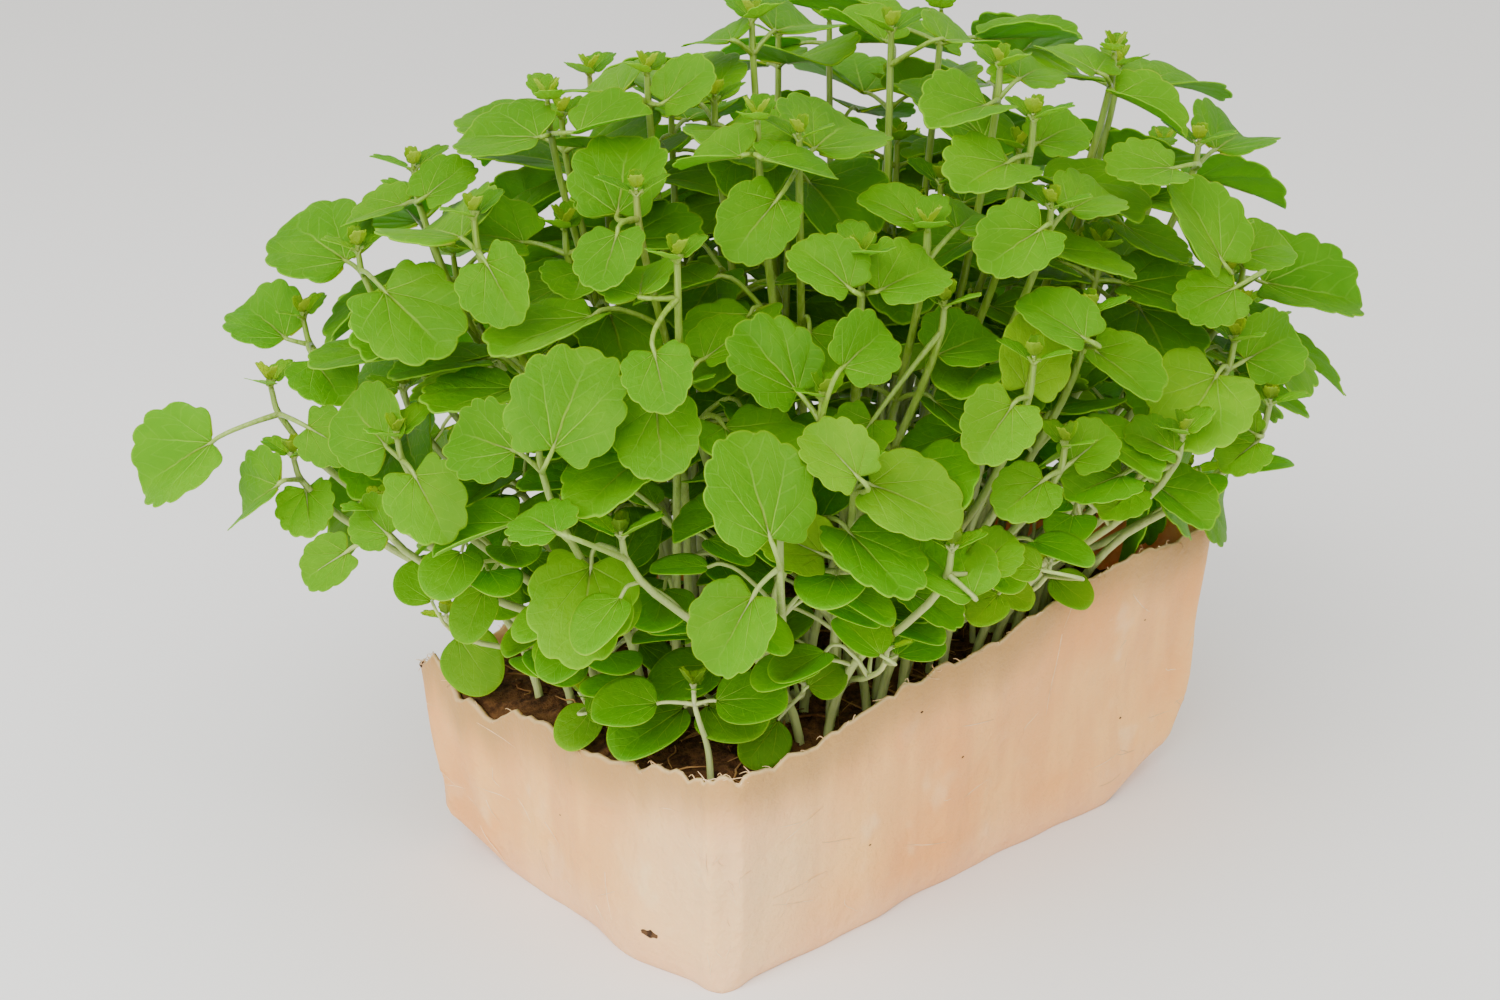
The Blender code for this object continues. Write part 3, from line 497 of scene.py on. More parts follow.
def fits(plant, corners):
    """Whether a solid seedling has its stem's foot and tip where this plant has them."""
    for ring in (plant.rings[0], plant.rings[-1]):
        diagonal = (ring.first + ring.along.cross(ring.first)).normalized()
        if corners.find(ring.centre + diagonal * ring.radius)[2] > FIT:
            return False
    return True


def grow_again(make, sprout, corners, roots, rng):
    """Tries places in the solid model's order until the seedling fits its solid."""
    for attempt in range(TRIES):
        crown, leaves = make(attempt, rng)
        root = root_place(crown, ROOT_WANDER * (0.2 + attempt / TRIES), rng)
        if any((root - other).length < ROOT_SPACING for other in roots):
            continue
        plant = seedling(crown, leaves, root, rng, sprout)
        if fits(plant, corners):
            roots.append(root)
            return plant
    raise ValueError("no place fits this solid seedling")


growth = random.Random(SEED)
roots = []
plants = []
seedling_names = sorted(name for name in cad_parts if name.startswith("seedling"))
corner_trees = [solid_corners(name) for name in seedling_names]
ways = [(row, 0) for row in PHOTO_SPROUTS] + [(row, 3) for row in PHOTO_SEEDLINGS]
for (row, teeth), corners in zip(ways, corner_trees):
    plants.append(grow_again(lambda n, r: from_photo(row, teeth, n, r), teeth == 0, corners, roots, growth))
for way, corners in zip(hidden_directions(), corner_trees[len(ways):]):
    plants.append(grow_again(lambda n, r: from_rule(way, n, r), False, corners, roots, growth))
print(len(plants), "seedlings grown again where their solids stand")

# %% [markdown]
# ## Helpers for meshes and materials
# Every piece is finished the same way: its bmesh becomes a mesh object at the origin, gets its
# materials, rides on the tray's one body, and stands for the solid that it replaces. A small
# helper also keeps the material cells short.

# %% Put a piece in the scene
def put_piece(name, shape, materials, replaced=()):
    """Makes a finished piece from a bmesh."""
    mesh = bpy.data.meshes.new(name)
    shape.to_mesh(mesh)
    shape.free()
    for material in materials:
        mesh.materials.append(material)
    mesh.shade_smooth()
    piece = bpy.data.objects.new(name, mesh)
    bpy.context.scene.collection.objects.link(piece)
    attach(piece, "root")
    if replaced:
        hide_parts(*replaced)
    return piece


def new_finish(name, roughness, **constants):
    """A material with one Principled shader, whose constant values are set on its own sockets."""
    material = bpy.data.materials.new(name)
    material.use_nodes = True
    shader = material.node_tree.nodes["Principled BSDF"]
    shader.inputs["Roughness"].default_value = roughness
    for socket, value in constants.items():
        shader.inputs[socket.replace("_", " ")].default_value = value
    return material, shader


def node(material, kind, inputs=None, **settings):
    """Adds a node. An input is a value or another node's output."""
    made = material.node_tree.nodes.new(kind)
    for key, value in settings.items():
        setattr(made, key, value)
    for key, value in (inputs or {}).items():
        if isinstance(value, bpy.types.NodeSocket):
            material.node_tree.links.new(value, made.inputs[key])
        else:
            made.inputs[key].default_value = value
    return made


def sums(material, operation, first, second=0.0, third=0.0):
    """The output of one Math node."""
    return node(material, "ShaderNodeMath", {0: first, 1: second, 2: third}, operation=operation).outputs[0]


def soft_range(material, value, low, high):
    """0 below low, 1 above high, and smooth between."""
    made = node(material, "ShaderNodeMapRange", {"Value": value, "From Min": low, "From Max": high},
                interpolation_type="SMOOTHSTEP")
    return made.outputs["Result"]


def mixed(material, share, first, second, blend_type="MIX"):
    """The colour output of one Mix node. A colour is a tuple or another node's output."""
    made = node(material, "ShaderNodeMix", data_type="RGBA", blend_type=blend_type)
    for index, value in ((0, share), (6, first), (7, second)):
        if isinstance(value, bpy.types.NodeSocket):
            material.node_tree.links.new(value, made.inputs[index])
        elif isinstance(value, tuple):
            made.inputs[index].default_value = (*value, 1)
        else:
            made.inputs[index].default_value = value
    return made.outputs[2]


def tinted(material, colour, mask, share, tint):
    """A colour with some of a tint laid over it where the mask is bright."""
    return mixed(material, sums(material, "MULTIPLY", mask, share), colour, tint)


def speckle(material, scale, detail=3.0, roughness=0.5, stretch=(1, 1, 1)):
    """A noise pattern on object coordinates, from 0 to 1."""
    place = node(material, "ShaderNodeTexCoord").outputs["Object"]
    place = node(material, "ShaderNodeMapping", {"Vector": place, "Scale": stretch}).outputs[0]
    inputs = {"Vector": place, "Scale": scale, "Detail": detail, "Roughness": roughness}
    return node(material, "ShaderNodeTexNoise", inputs).outputs[0]


def finish_with(material, shader, colour, height=None, bump_depth=0.0002):
    """Joins a colour and a bump height to the shader."""
    material.node_tree.links.new(colour, shader.inputs["Base Color"])
    if height is not None:
        bump = node(material, "ShaderNodeBump", {"Height": height, "Distance": bump_depth})
        material.node_tree.links.new(bump.outputs[0], shader.inputs["Normal"])


# %% [markdown]
# ## Leaf finish
# A microgreens leaf is thin and lets light through. Pale veins fan out from its foot, with finer
# ones between them, its rim is a light line, and its underside is paler. Each leaf carries an
# attribute with its own coordinates: how far round the edge, how far from foot to edge, and
# which side. The veins are drawn from these, so they follow the leaf however it bends. A second
# attribute gives each leaf a tone, from deep green to bright yellow-green: it varies at random,
# and also holds painted shade that darkens leaves deep in the canopy and painted light that
# brightens outer and young leaves.

# %% Leaf material
VEIN_SPACING = 0.31
leaf_finish, leaf_shader = new_finish(
    "leaf_blade", 0.56, Specular_IOR_Level=0.08, Subsurface_Weight=0.6, Subsurface_Scale=0.0014,
)
leaf_shader.inputs["Subsurface Radius"].default_value = (0.55, 1.0, 0.12)
place = node(leaf_finish, "ShaderNodeAttribute", attribute_name="leaf_place").outputs["Vector"]
place = node(leaf_finish, "ShaderNodeSeparateXYZ", {0: place}).outputs
tone = node(leaf_finish, "ShaderNodeAttribute", attribute_name="tone").outputs["Fac"]
wobble = sums(leaf_finish, "MULTIPLY", sums(leaf_finish, "SUBTRACT", speckle(leaf_finish, 260), 0.5), 0.06)
round_edge = sums(leaf_finish, "ADD", place[0], wobble)
turn = sums(leaf_finish, "FRACT", sums(leaf_finish, "MULTIPLY_ADD", round_edge, 1 / VEIN_SPACING, 0.5))
aside = sums(leaf_finish, "ABSOLUTE", sums(leaf_finish, "SUBTRACT", turn, 0.5))
aside = sums(leaf_finish, "MULTIPLY", sums(leaf_finish, "MULTIPLY", aside, place[1]), VEIN_SPACING * 1.6)
main_vein = sums(leaf_finish, "SUBTRACT", 1.0, soft_range(leaf_finish, aside, 0.002, 0.012))
main_vein = sums(leaf_finish, "MULTIPLY", main_vein, soft_range(leaf_finish, place[1], 1.0, 0.1))
branch = sums(leaf_finish, "MULTIPLY_ADD", aside, -1.5, place[1])
branch = sums(leaf_finish, "ADD", branch, wobble)
branch = sums(leaf_finish, "FRACT", sums(leaf_finish, "MULTIPLY", branch, 5.5))
branch = sums(leaf_finish, "ABSOLUTE", sums(leaf_finish, "SUBTRACT", branch, 0.5))
side_vein = sums(leaf_finish, "SUBTRACT", 1.0, soft_range(leaf_finish, branch, 0.02, 0.10))
veins = sums(leaf_finish, "MAXIMUM", main_vein, sums(leaf_finish, "MULTIPLY", side_vein, 0.16))
edge = soft_range(leaf_finish, place[1], 0.972, 0.997)

# %% Leaf colours
greens = node(leaf_finish, "ShaderNodeValToRGB", {0: tone})
ramp = greens.color_ramp
ramp.elements[0].color = (0.020, 0.095, 0.000, 1)
ramp.elements[1].color = (0.165, 0.340, 0.000, 1)
for position, colour in ((0.35, (0.043, 0.158, 0.000, 1)), (0.70, (0.080, 0.226, 0.000, 1))):
    ramp.elements.new(position).color = colour
patches = soft_range(leaf_finish, speckle(leaf_finish, 140), 0.35, 0.7)
patchy = mixed(leaf_finish, patches, (0.86, 0.90, 0.90), (1.12, 1.06, 1.0))
colour = mixed(leaf_finish, 1.0, greens.outputs[0], patchy, "MULTIPLY")
colour = tinted(leaf_finish, colour, veins, 0.62, (0.26, 0.44, 0.04))
colour = tinted(leaf_finish, colour, edge, 0.35, (0.24, 0.43, 0.01))
colour = tinted(leaf_finish, colour, place[2], 0.45, (0.16, 0.33, 0.02))
quilt = sums(leaf_finish, "MULTIPLY_ADD", veins, -0.7, speckle(leaf_finish, 900))
finish_with(leaf_finish, leaf_shader, colour, quilt, 0.00020)

# %% [markdown]
# ## Stem finish
# The stems are pale and watery, almost white low down and greener near the crown, with fine
# lengthwise streaks. A gradient over height gives the change, and noise squeezed in X and Y
# gives the streaks.

# %% Stem material
stem_finish, stem_shader = new_finish(
    "stem", 0.38, Specular_IOR_Level=0.45, Subsurface_Weight=0.4, Subsurface_Scale=0.0015,
)
stem_shader.inputs["Subsurface Radius"].default_value = (0.8, 1.0, 0.4)
height = node(stem_finish, "ShaderNodeTexCoord").outputs["Object"]
height = node(stem_finish, "ShaderNodeSeparateXYZ", {0: height}).outputs[2]
greener = soft_range(stem_finish, height, 0.038, 0.100)
colour = mixed(stem_finish, greener, (0.46, 0.54, 0.20), (0.15, 0.27, 0.01))
streaks = soft_range(stem_finish, speckle(stem_finish, 1500, stretch=(1, 1, 0.08)), 0.3, 0.7)
colour = tinted(stem_finish, colour, streaks, 0.30, (0.36, 0.46, 0.10))
rosy = soft_range(stem_finish, speckle(stem_finish, 28), 0.62, 0.78)
colour = tinted(stem_finish, colour, rosy, 0.40, (0.34, 0.24, 0.08))
finish_with(stem_finish, stem_shader, colour, streaks, 0.0001)

# %% [markdown]
# ## A leaf blade
# The blade is a fan of faces round the foot where its stalk joins, because the veins fan out
# from there too. A flat grid is bent to make it: its columns go round the edge and its rows run
# from foot to edge. The edge has rounded scallops that lean towards the tip, the surface dips
# along the veins and swells between them, and the edge waves a little. The faces are then
# extruded along the leaf's normal, which gives the sheet its thickness and a closed rim.

# %% Fan of faces
FAN_STEPS = 80
FAN_RINGS = (0.04, 0.20, 0.38, 0.56, 0.74, 0.88, 0.965, 1.0)
NOTCH = 0.02


def fan(steps, rings):
    """A flat fan: x is the place round the edge from -1 to 1, y the share from foot to edge."""
    shape = bmesh.new()
    bmesh.ops.create_grid(shape, x_segments=steps, y_segments=len(rings) - 1, size=1)
    shape.verts.ensure_lookup_table()
    for index, corner in enumerate(shape.verts):
        corner.co.y = rings[index // (steps + 1)]
    return shape


def scallop(share, lobes):
    """The height of a leaf edge's rounded lobes, 0 in the notches; share is 0 at the tip."""
    place = share * (lobes + 0.5)
    off = place - round(place)
    peak = -0.14
    off = (off - peak) / (0.5 - peak) if off > peak else (peak - off) / (0.5 + peak)
    return max(0.0, 1 - abs(off) ** 2.2)


def edge_point(place, look):
    """A point of the leaf's edge as (along, across) shares of its length."""
    share = abs(place)
    rise = 1 - share * (1 - NOTCH)
    turn = math.pi * rise
    along = 0.5 - 0.5 * math.cos(turn)
    across = 0.5 * max(0.0, math.sin(turn)) ** 0.75 * (1.12 - 0.28 * along)
    if look["lobes"]:
        behind = min(1.0, rise / 0.40)
        along = along * 0.96 - look["heart"] * math.sin(math.pi * behind ** 0.8) * (1.15 - 0.5 * behind)
        reach = 1 + look["depth"] * (scallop(share, look["lobes"]) - 0.6)
        reach += 0.035 * math.sin(place * 3.1 + look["phase"]) * share
        along = 0.42 + (along - 0.42) * blend(1, reach, smooth_step(rise / 0.12))
        across *= reach
    return along, math.copysign(across, place)


# %% Bend a fan into a leaf
def leaf_spot(leaf, look, place, share):
    """A point of the blade's middle sheet."""
    edge_along, edge_across = edge_point(place, look)
    along = edge_along * share
    across = edge_across * share
    vein = abs((place / VEIN_SPACING + 0.5) % 1 - 0.5) * 2
    swell = look["quilt"] * (math.sin(vein * math.pi / 2) ** 0.7) * share * (1 - share ** 3)
    wave = look["wave"] * math.sin(place * look["waves"] + look["phase"]) * share ** 3
    rise = (leaf.cup + look["fold"]) * 2 * (math.sqrt(across * across + 0.0016) - 0.04)
    rise -= leaf.droop * along * along
    side = leaf.normal.cross(leaf.axis)
    flat = leaf.axis * (along * leaf.length) + side * (across * leaf.width)
    return leaf.base + flat + leaf.normal * ((rise + swell + wave) * leaf.length)


plain_look = dict.fromkeys(("lobes", "depth", "heart", "quilt", "wave", "waves", "phase", "fold"), 0)


def leaf_look(leaf, rng):
    """The small differences of one leaf."""
    large = leaf.teeth == 3
    return {
        "lobes": rng.choice((4, 5)) if large else 3 if leaf.teeth == 1 else 0,
        "depth": rng.uniform(0.07, 0.13) if large else 0.20,
        "heart": rng.uniform(0.10, 0.17) if large else 0.08,
        "quilt": rng.uniform(0.026, 0.050) if large else 0.006 if leaf.teeth == 0 else 0.04,
        "wave": rng.uniform(0.008, 0.034) if large else 0.008,
        "fold": rng.uniform(0.0, 0.16) if large else 0.0,
        "waves": rng.uniform(5, 9),
        "phase": rng.uniform(0, math.tau),
    }


def bent_fan(template, leaf, look, thickness):
    """A closed thin shell: a fan bent into the leaf and given its thickness."""
    sheet = template.copy()
    place_layer = sheet.verts.layers.float_vector.new("leaf_place")
    for corner in sheet.verts:
        place, share, _ = corner.co
        corner[place_layer] = (place, share, 1)
        corner.co = leaf_spot(leaf, look, place, share) - leaf.normal * (thickness / 2)
    raised = bmesh.ops.extrude_face_region(sheet, geom=sheet.faces, use_keep_orig=True)["geom"]
    top = [part for part in raised if isinstance(part, bmesh.types.BMVert)]
    bmesh.ops.translate(sheet, verts=top, vec=leaf.normal * thickness)
    for corner in top:
        corner[place_layer].z = 0
    bmesh.ops.recalc_face_normals(sheet, faces=sheet.faces)
    return sheet


def add_blade(shape, template, leaf, tone, rng):
    """Adds one thin leaf blade to a seedling's bmesh."""
    sheet = bent_fan(template, leaf, leaf_look(leaf, rng), leaf.length * 0.014)
    tone_layer = sheet.verts.layers.float.new("tone")
    for corner in sheet.verts:
        corner[tone_layer] = tone
    mesh = bpy.data.meshes.new("blade")
    sheet.to_mesh(mesh)
    sheet.free()
    shape.from_mesh(mesh)
    bpy.data.meshes.remove(mesh)


blade_fan = fan(FAN_STEPS, FAN_RINGS)
small_fan = fan(FAN_STEPS // 2, FAN_RINGS[:1] + FAN_RINGS[1::2])
print("faces of a leaf's fan:", len(blade_fan.faces), "large,", len(small_fan.faces), "small")

# %% [markdown]
# ## Stems and stalks
# A stem is a smooth curve with a thickness that changes along it, so Blender's curves are the
# natural tool: a spline through the rings with a round bevel and a radius at each point, turned
# into a mesh at the end. The stalks leave the stem's side and arch to the foot of their leaf,
# and go on under the blade as its raised middle vein.

# %% Curves with a thickness
CURVE_RADIUS = 0.001


def add_strand(curve, points, radii):
    """Adds one smooth strand through the points to a curve."""
    spline = curve.splines.new("BEZIER")
    spline.bezier_points.add(len(points) - 1)
    for corner, point, radius in zip(spline.bezier_points, points, radii):
        corner.co = point
        corner.radius = radius / CURVE_RADIUS
        corner.handle_left_type = corner.handle_right_type = "AUTO"


def new_curve(name, sides, steps):
    """An empty curve with a round section 1 mm in radius, which each point's radius scales."""
    curve = bpy.data.curves.new(name, "CURVE")
    curve.dimensions = "3D"
    curve.bevel_depth = CURVE_RADIUS
    curve.bevel_resolution = sides
    curve.resolution_u = steps
    curve.use_fill_caps = True
    return curve


def curve_mesh(curve):
    """The curve's strands as a mesh. The curve itself is removed."""
    holder = bpy.data.objects.new(curve.name, curve)
    bpy.context.scene.collection.objects.link(holder)
    graph = bpy.context.evaluated_depsgraph_get()
    mesh = bpy.data.meshes.new_from_object(holder.evaluated_get(graph))
    bpy.data.objects.remove(holder)
    bpy.data.curves.remove(curve)
    return mesh


# %% Stem, stalks and ribs of one seedling
STALK_RADIUS = 0.00038
RIB_RADIUS = 0.00028


def seedling_curve(plant):
    """The curve of a whole seedling."""
    curve = new_curve("seedling_curve", 1, 4)
    spots = [plant.rings[0].centre]
    for ring in plant.rings[1:]:
        if (ring.centre - spots[-1]).length > BLADE_THICKNESS * 1.2:
            spots.append(ring.centre)
    thick = STEM_RADIUS * (0.72 if plant.leaves[0][2].teeth == 0 else 1.0)
    radii = [thick * blend(1.0, 0.58, index / (len(spots) - 1)) for index in range(len(spots))]
    add_strand(curve, spots, radii)
    for index, _, leaf in plant.leaves:
        start = plant.rings[index].centre
        reach = (leaf.base - start).length
        lift = (leaf.axis - leaf.normal * 0.3) * reach * 0.3
        knee = leaf.base - lift
        thin = STALK_RADIUS if leaf.teeth == 3 else STALK_RADIUS * 0.8
        spots = [start, start.lerp(knee, 0.55), knee.lerp(leaf.base, 0.5), leaf.base]
        radii = [thin * 1.35, thin * 1.05, thin * 0.95, thin * 0.9]
        drop = leaf.normal * (leaf.length * 0.006)
        if leaf.teeth == 3:
            for share, thickness in ((0.10, 0.8), (0.3, 0.6), (0.62, 0.3)):
                spots.append(leaf_spot(leaf, plain_look, 0.0, share) - drop)
                radii.append(RIB_RADIUS * thickness)
        add_strand(curve, spots, radii)
    return curve


# %% [markdown]
# ## Seedlings in between
# A real tray is fuller than the solid model, which keeps to a few dozen plants. More seedlings
# are added inside the canopy and low over the soil, each at a place where coarse versions of its
# leaves and stem cross nothing that already stands. Bounding volume trees make that test quick.

# %% Search trees
def solid_tree(name):
    """The search tree of a solid of the model."""
    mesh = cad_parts[name].data
    corners = [corner.co for corner in mesh.vertices]
    return BVHTree.FromPolygons(corners, [face.vertices for face in mesh.polygons])


def leaf_tree(leaf, thickness):
    """The search tree of a coarse leaf."""
    coarse = bent_fan(coarse_fan, leaf, plain_look, thickness)
    tree = BVHTree.FromBMesh(coarse)
    coarse.free()
    return tree


def bar_tree(bars, radius):
    """Square bars between pairs of points."""
    shape = bmesh.new()
    for low, high in bars:
        way = high - low
        place = Matrix.Translation((low + high) / 2) @ way.to_track_quat("Z", "Y").to_matrix().to_4x4()
        bmesh.ops.create_cone(
            shape, segments=4, radius1=radius, radius2=radius, depth=way.length, matrix=place)
    tree = BVHTree.FromBMesh(shape)
    shape.free()
    return tree


def stem_tree(plant, radius):
    """The stem above its collar and the leaf stalks."""
    spots = [ring.centre for ring in plant.rings[1:]]
    bars = [pair for pair in zip(spots, spots[1:]) if (pair[1] - pair[0]).length > BLADE_THICKNESS * 1.2]
    bars += [(plant.rings[index].centre, leaf.base) for index, _, leaf in plant.leaves]
    return bar_tree(bars, radius)


coarse_fan = fan(8, (0.15, 1.0))
standing = [solid_tree(name) for name in ["tray", "soil"] + seedling_names]
print(len(standing), "search trees of the solid model")

# %% Smaller seedlings that the photograph shows, scalloped (3) or with round seed leaves (0)
PHOTO_SMALLER = (
    (3, ((300, 478), (257, 498, 46, 84), (308, 512, 62, 50))),
    (3, ((385, 530), (324, 566, 54, 58), (372, 520, 50, 60))),
    (3, ((290, 328), (226, 292, 76, 50), (300, 398, 56, 48))),
    (3, ((960, 585), (950, 572, 100, 80), (1010, 548, 60, 56))),
    (3, ((1262, 440), (1242, 458, 58, 50), (1232, 420, 46, 40))),
    (3, ((690, 540), (660, 510, 70, 80), (706, 525, 60, 60))),
    (3, ((600, 540), (558, 548, 80, 56), (610, 505, 60, 54))),
    (3, ((1060, 470), (1020, 498, 70, 60), (1092, 446, 60, 56))),
    (3, ((540, 580), (500, 585, 60, 56), (545, 620, 56, 50))),
    (0, ((800, 690), (762, 738, 54, 60), (822, 688, 46, 50))),
    (0, ((880, 676), (866, 696, 48, 46), (828, 668, 40, 40))),
    (0, ((500, 700), (470, 692, 34, 62), (525, 688, 50, 52))),
    (0, ((590, 712), (575, 728, 52, 44), (612, 706, 50, 40))),
    (0, ((708, 750), (716, 768, 56, 30), (688, 748, 50, 40))),
    (0, ((1005, 590), (980, 606, 50, 40), (1032, 600, 44, 40))),
    (3, ((870, 620), (842, 606, 60, 50), (886, 590, 56, 50))),
    (3, ((470, 590), (440, 574, 66, 44), (486, 630, 60, 50))),
    (3, ((1180, 455), (1150, 440, 60, 50), (1110, 512, 60, 44))),
)

# %% Where the seedlings in between may stand
INNER_COUNT = 150
INNER_DEPTHS = (0.97, 0.86, 0.72)
INNER_SPACING = 0.0021
INNER_TRIES = 80
INNER_LEAVES = ((-0.1, 0.4), (0.0140, 0.0205), (0.0045, 0.0085), (0.92, 1.02), (0.04, 0.16), (0.05, 0.25))
ROUND_HANG = (0.003, 0.040)
LARGE_HANG = (-0.002, 0.060)


def inner_seedling(direction, depth, attempt, rng):
    """A crown and two leaves at a share of the canopy's depth."""
    loose = attempt / INNER_TRIES
    aside = Vector([rng.gauss(0, 0.10 + 0.25 * loose) for _ in range(3)])
    direction = (direction + aside).normalized()
    middle = Vector((0, 0, CANOPY_MIDDLE))
    reach = 0.02
    while canopy_level(middle + direction * reach) < 1:
        reach += 0.001
    crown = middle + direction * (reach * depth * (1 - 0.25 * loose * rng.random()) - 0.006)
    normal = (canopy_outward(crown) * 0.6 + UP * 0.45).normalized()
    turn = rng.uniform(0, math.pi)
    return crown, leaf_pair(crown, normal, turn, INNER_LEAVES, 3, rng)


def hangs_out(leaf):
    """Whether a leaf would hang down over the tray's wall."""
    tip = leaf.base + leaf.axis * leaf.length
    outside = max(abs(tip.x) - TRAY_LENGTH / 2, abs(tip.y) - TRAY_WIDTH / 2)
    allowed, height = ROUND_HANG if leaf.teeth == 0 else LARGE_HANG
    return outside > allowed and tip.z < height


def clear_trees(plant):
    """The new plant's search trees, or nothing if it crosses what stands."""
    root = plant.rings[0].centre.xy
    if any((root - other.xy).length < INNER_SPACING for other in roots):
        return None
    if any(hangs_out(leaf) for _, _, leaf in plant.leaves):
        return None
    trees = []
    for _, _, leaf in plant.leaves:
        tree = leaf_tree(leaf, 0.0009)
        if any(tree.overlap(other) for other in standing):
            return None
        trees.append(tree)
    tree = stem_tree(plant, 0.0006)
    if any(tree.overlap(other) for other in standing):
        return None
    return trees + [tree]


# %% Grow the seedlings in between
inner_growth = random.Random(31)
inner_plants = []


def grow(make, find_root, sprout):
    """Adds a seedling at the first of its rule's places where it crosses nothing."""
    for attempt in range(INNER_TRIES):
        crown, leaves = make(attempt)
        root = find_root(crown)
        plant = seedling(crown, leaves, root, inner_growth, sprout)
        trees = clear_trees(plant)
        if trees:
            inner_plants.append(plant)
            standing.extend(trees)
            roots.append(root)
            return


def near_root(crown):
    """Near the crown's shadow on the soil."""
    return root_place(crown, ROOT_WANDER * 0.5, inner_growth)


for teeth, row in PHOTO_SMALLER:
    grow(lambda attempt: from_photo(row, teeth, attempt * 8, inner_growth), near_root, teeth == 0)
print(len(inner_plants), "smaller seedlings of the photograph")
for index, (_, way) in enumerate(dome_directions(INNER_COUNT, 0.97, 0.97 + 0.40)):
    depth = INNER_DEPTHS[index % 3]
    grow(lambda attempt: inner_seedling(way, depth, attempt, inner_growth), near_root, False)
print(len(inner_plants), "seedlings in between")

# %% [markdown]
# ## Sprouts over the rim
# Low down, the youngest sprouts show only two smooth round seed leaves. They stand all round the
# edge of the soil, and some of their leaves lean over the rim.

# %% Grow the sprouts
SPROUT_COUNT = 36
SPROUT_LEAVES = ((-0.05, 0.25), (0.0085, 0.0125), (0.003, 0.006), (0.92, 1.05), (0.03, 0.14), (0.0, 0.2))


def low_sprout(index, rng):
    """A crown near the edge of the soil with two round leaves."""
    turn = math.tau * (index + rng.uniform(-0.6, 0.6)) / SPROUT_COUNT
    edge = max(abs(math.cos(turn)) / 0.056, abs(math.sin(turn)) / 0.034)
    reach = rng.uniform(0.55, 0.98) / edge
    crown = Vector((math.cos(turn) * reach, math.sin(turn) * reach, SOIL_LEVEL + rng.uniform(0.009, 0.024)))
    outward = Vector((crown.x, crown.y, 0)).normalized()
    normal = (UP + outward * rng.uniform(0.1, 0.8)).normalized()
    turn = rng.uniform(0, math.pi)
    return crown, leaf_pair(crown, normal, turn, SPROUT_LEAVES, 0, rng)


def root_below(crown):
    """Nearly straight under the crown."""
    aside = Vector((crown.x / ROOT_SHARES[0], crown.y / ROOT_SHARES[1], 0)) * 0.95
    return root_place(aside, 0.004, inner_growth)


for index in range(SPROUT_COUNT):
    grow(lambda attempt: low_sprout(index, inner_growth), root_below, True)
print(len(inner_plants), "seedlings in between with the sprouts")

# %% [markdown]
# ## Leaves along the stems
# Besides the pair at its crown, a stem carries leaves at lower nodes, on longer stalks that reach
# for the light. Each stem gets a few, wherever one still fits: smooth seed leaves low down and
# scalloped ones higher up. Behind the right half of the front wall the stems stand bare, as in
# the photograph, so no low leaf is added there.

# %% Leaves at the lower nodes
SIDE_TRIES = 36
SIDE_LEAVES = 5
SIDE_LOWEST = 0.042
ROUND_BELOW = 0.070
BARE_FROM = -0.018
BARE_BEFORE = -0.014
BARE_BELOW = 0.068


def side_leaf(start, rng):
    """One more leaf that grows from a point of a stem."""
    outward = Vector((start.x, start.y, 0)) * 12
    turn = rng.uniform(0, math.tau)
    way = (outward + Vector((math.cos(turn), math.sin(turn), 0)) * 0.8).normalized()
    base = start + (way + UP * rng.uniform(0.1, 0.8)).normalized() * rng.uniform(0.006, 0.015)
    axis = (way + UP * rng.uniform(-0.5, 0.2)).normalized()
    normal = (UP + way * rng.uniform(0.0, 0.9)).normalized()
    side = axis.cross(normal).normalized()
    teeth = 0 if base.z < ROUND_BELOW else 3
    length = rng.uniform(0.0080, 0.0115) if teeth == 0 else rng.uniform(0.0120, 0.0180)
    return Leaf(base, axis, side.cross(axis), length, length * rng.uniform(0.9, 1.02), teeth,
                rng.uniform(0.03, 0.14), rng.uniform(0.0, 0.25))


def is_bare(place):
    """Whether the stems stand without leaves at this place."""
    return place.x > BARE_FROM and place.y < BARE_BEFORE and place.z < BARE_BELOW


def try_side_leaf(plant, rng):
    """Adds a leaf to the plant where it crosses nothing."""
    for _ in range(SIDE_TRIES):
        index = rng.randrange(2, len(plant.rings) - 4)
        start = plant.rings[index].centre
        if start.z < SOIL_LEVEL + 0.004:
            continue
        leaf = side_leaf(start, rng)
        middle = leaf.base + leaf.axis * leaf.length * 0.7
        too_low = leaf.base.z < SIDE_LOWEST
        if canopy_level(middle) > 1.05 or too_low or is_bare(middle) or hangs_out(leaf):
            continue
        tree = leaf_tree(leaf, 0.0008)
        if any(tree.overlap(other) for other in standing):
            continue
        stalk = bar_tree([(start.lerp(leaf.base, 0.25), leaf.base)], 0.0004)
        if any(stalk.overlap(other) for other in standing):
            continue
        standing.extend((tree, stalk))
        plant.leaves.append((index, FRONT, leaf))
        return True
    return False


added = 0
for _ in range(SIDE_LEAVES):
    for plant in plants + inner_plants:
        added += try_side_leaf(plant, inner_growth)
print(added, "leaves at lower nodes")

# %% [markdown]
# ## The seedlings of the solid model
# Each solid seedling is now replaced by a fine one. Leaves deep inside are a darker green, painted
# shade with some chance in it, and a few young leaves are a brighter yellow-green, partly their own
# paler colour and partly painted light shining through them, as the photograph shows them. The
# tip gets two more crinkled leaflets inside its young pair, as the growing point of such a plant has.

# %% Grow the fine seedlings
TIP_SHRINK = 0.78
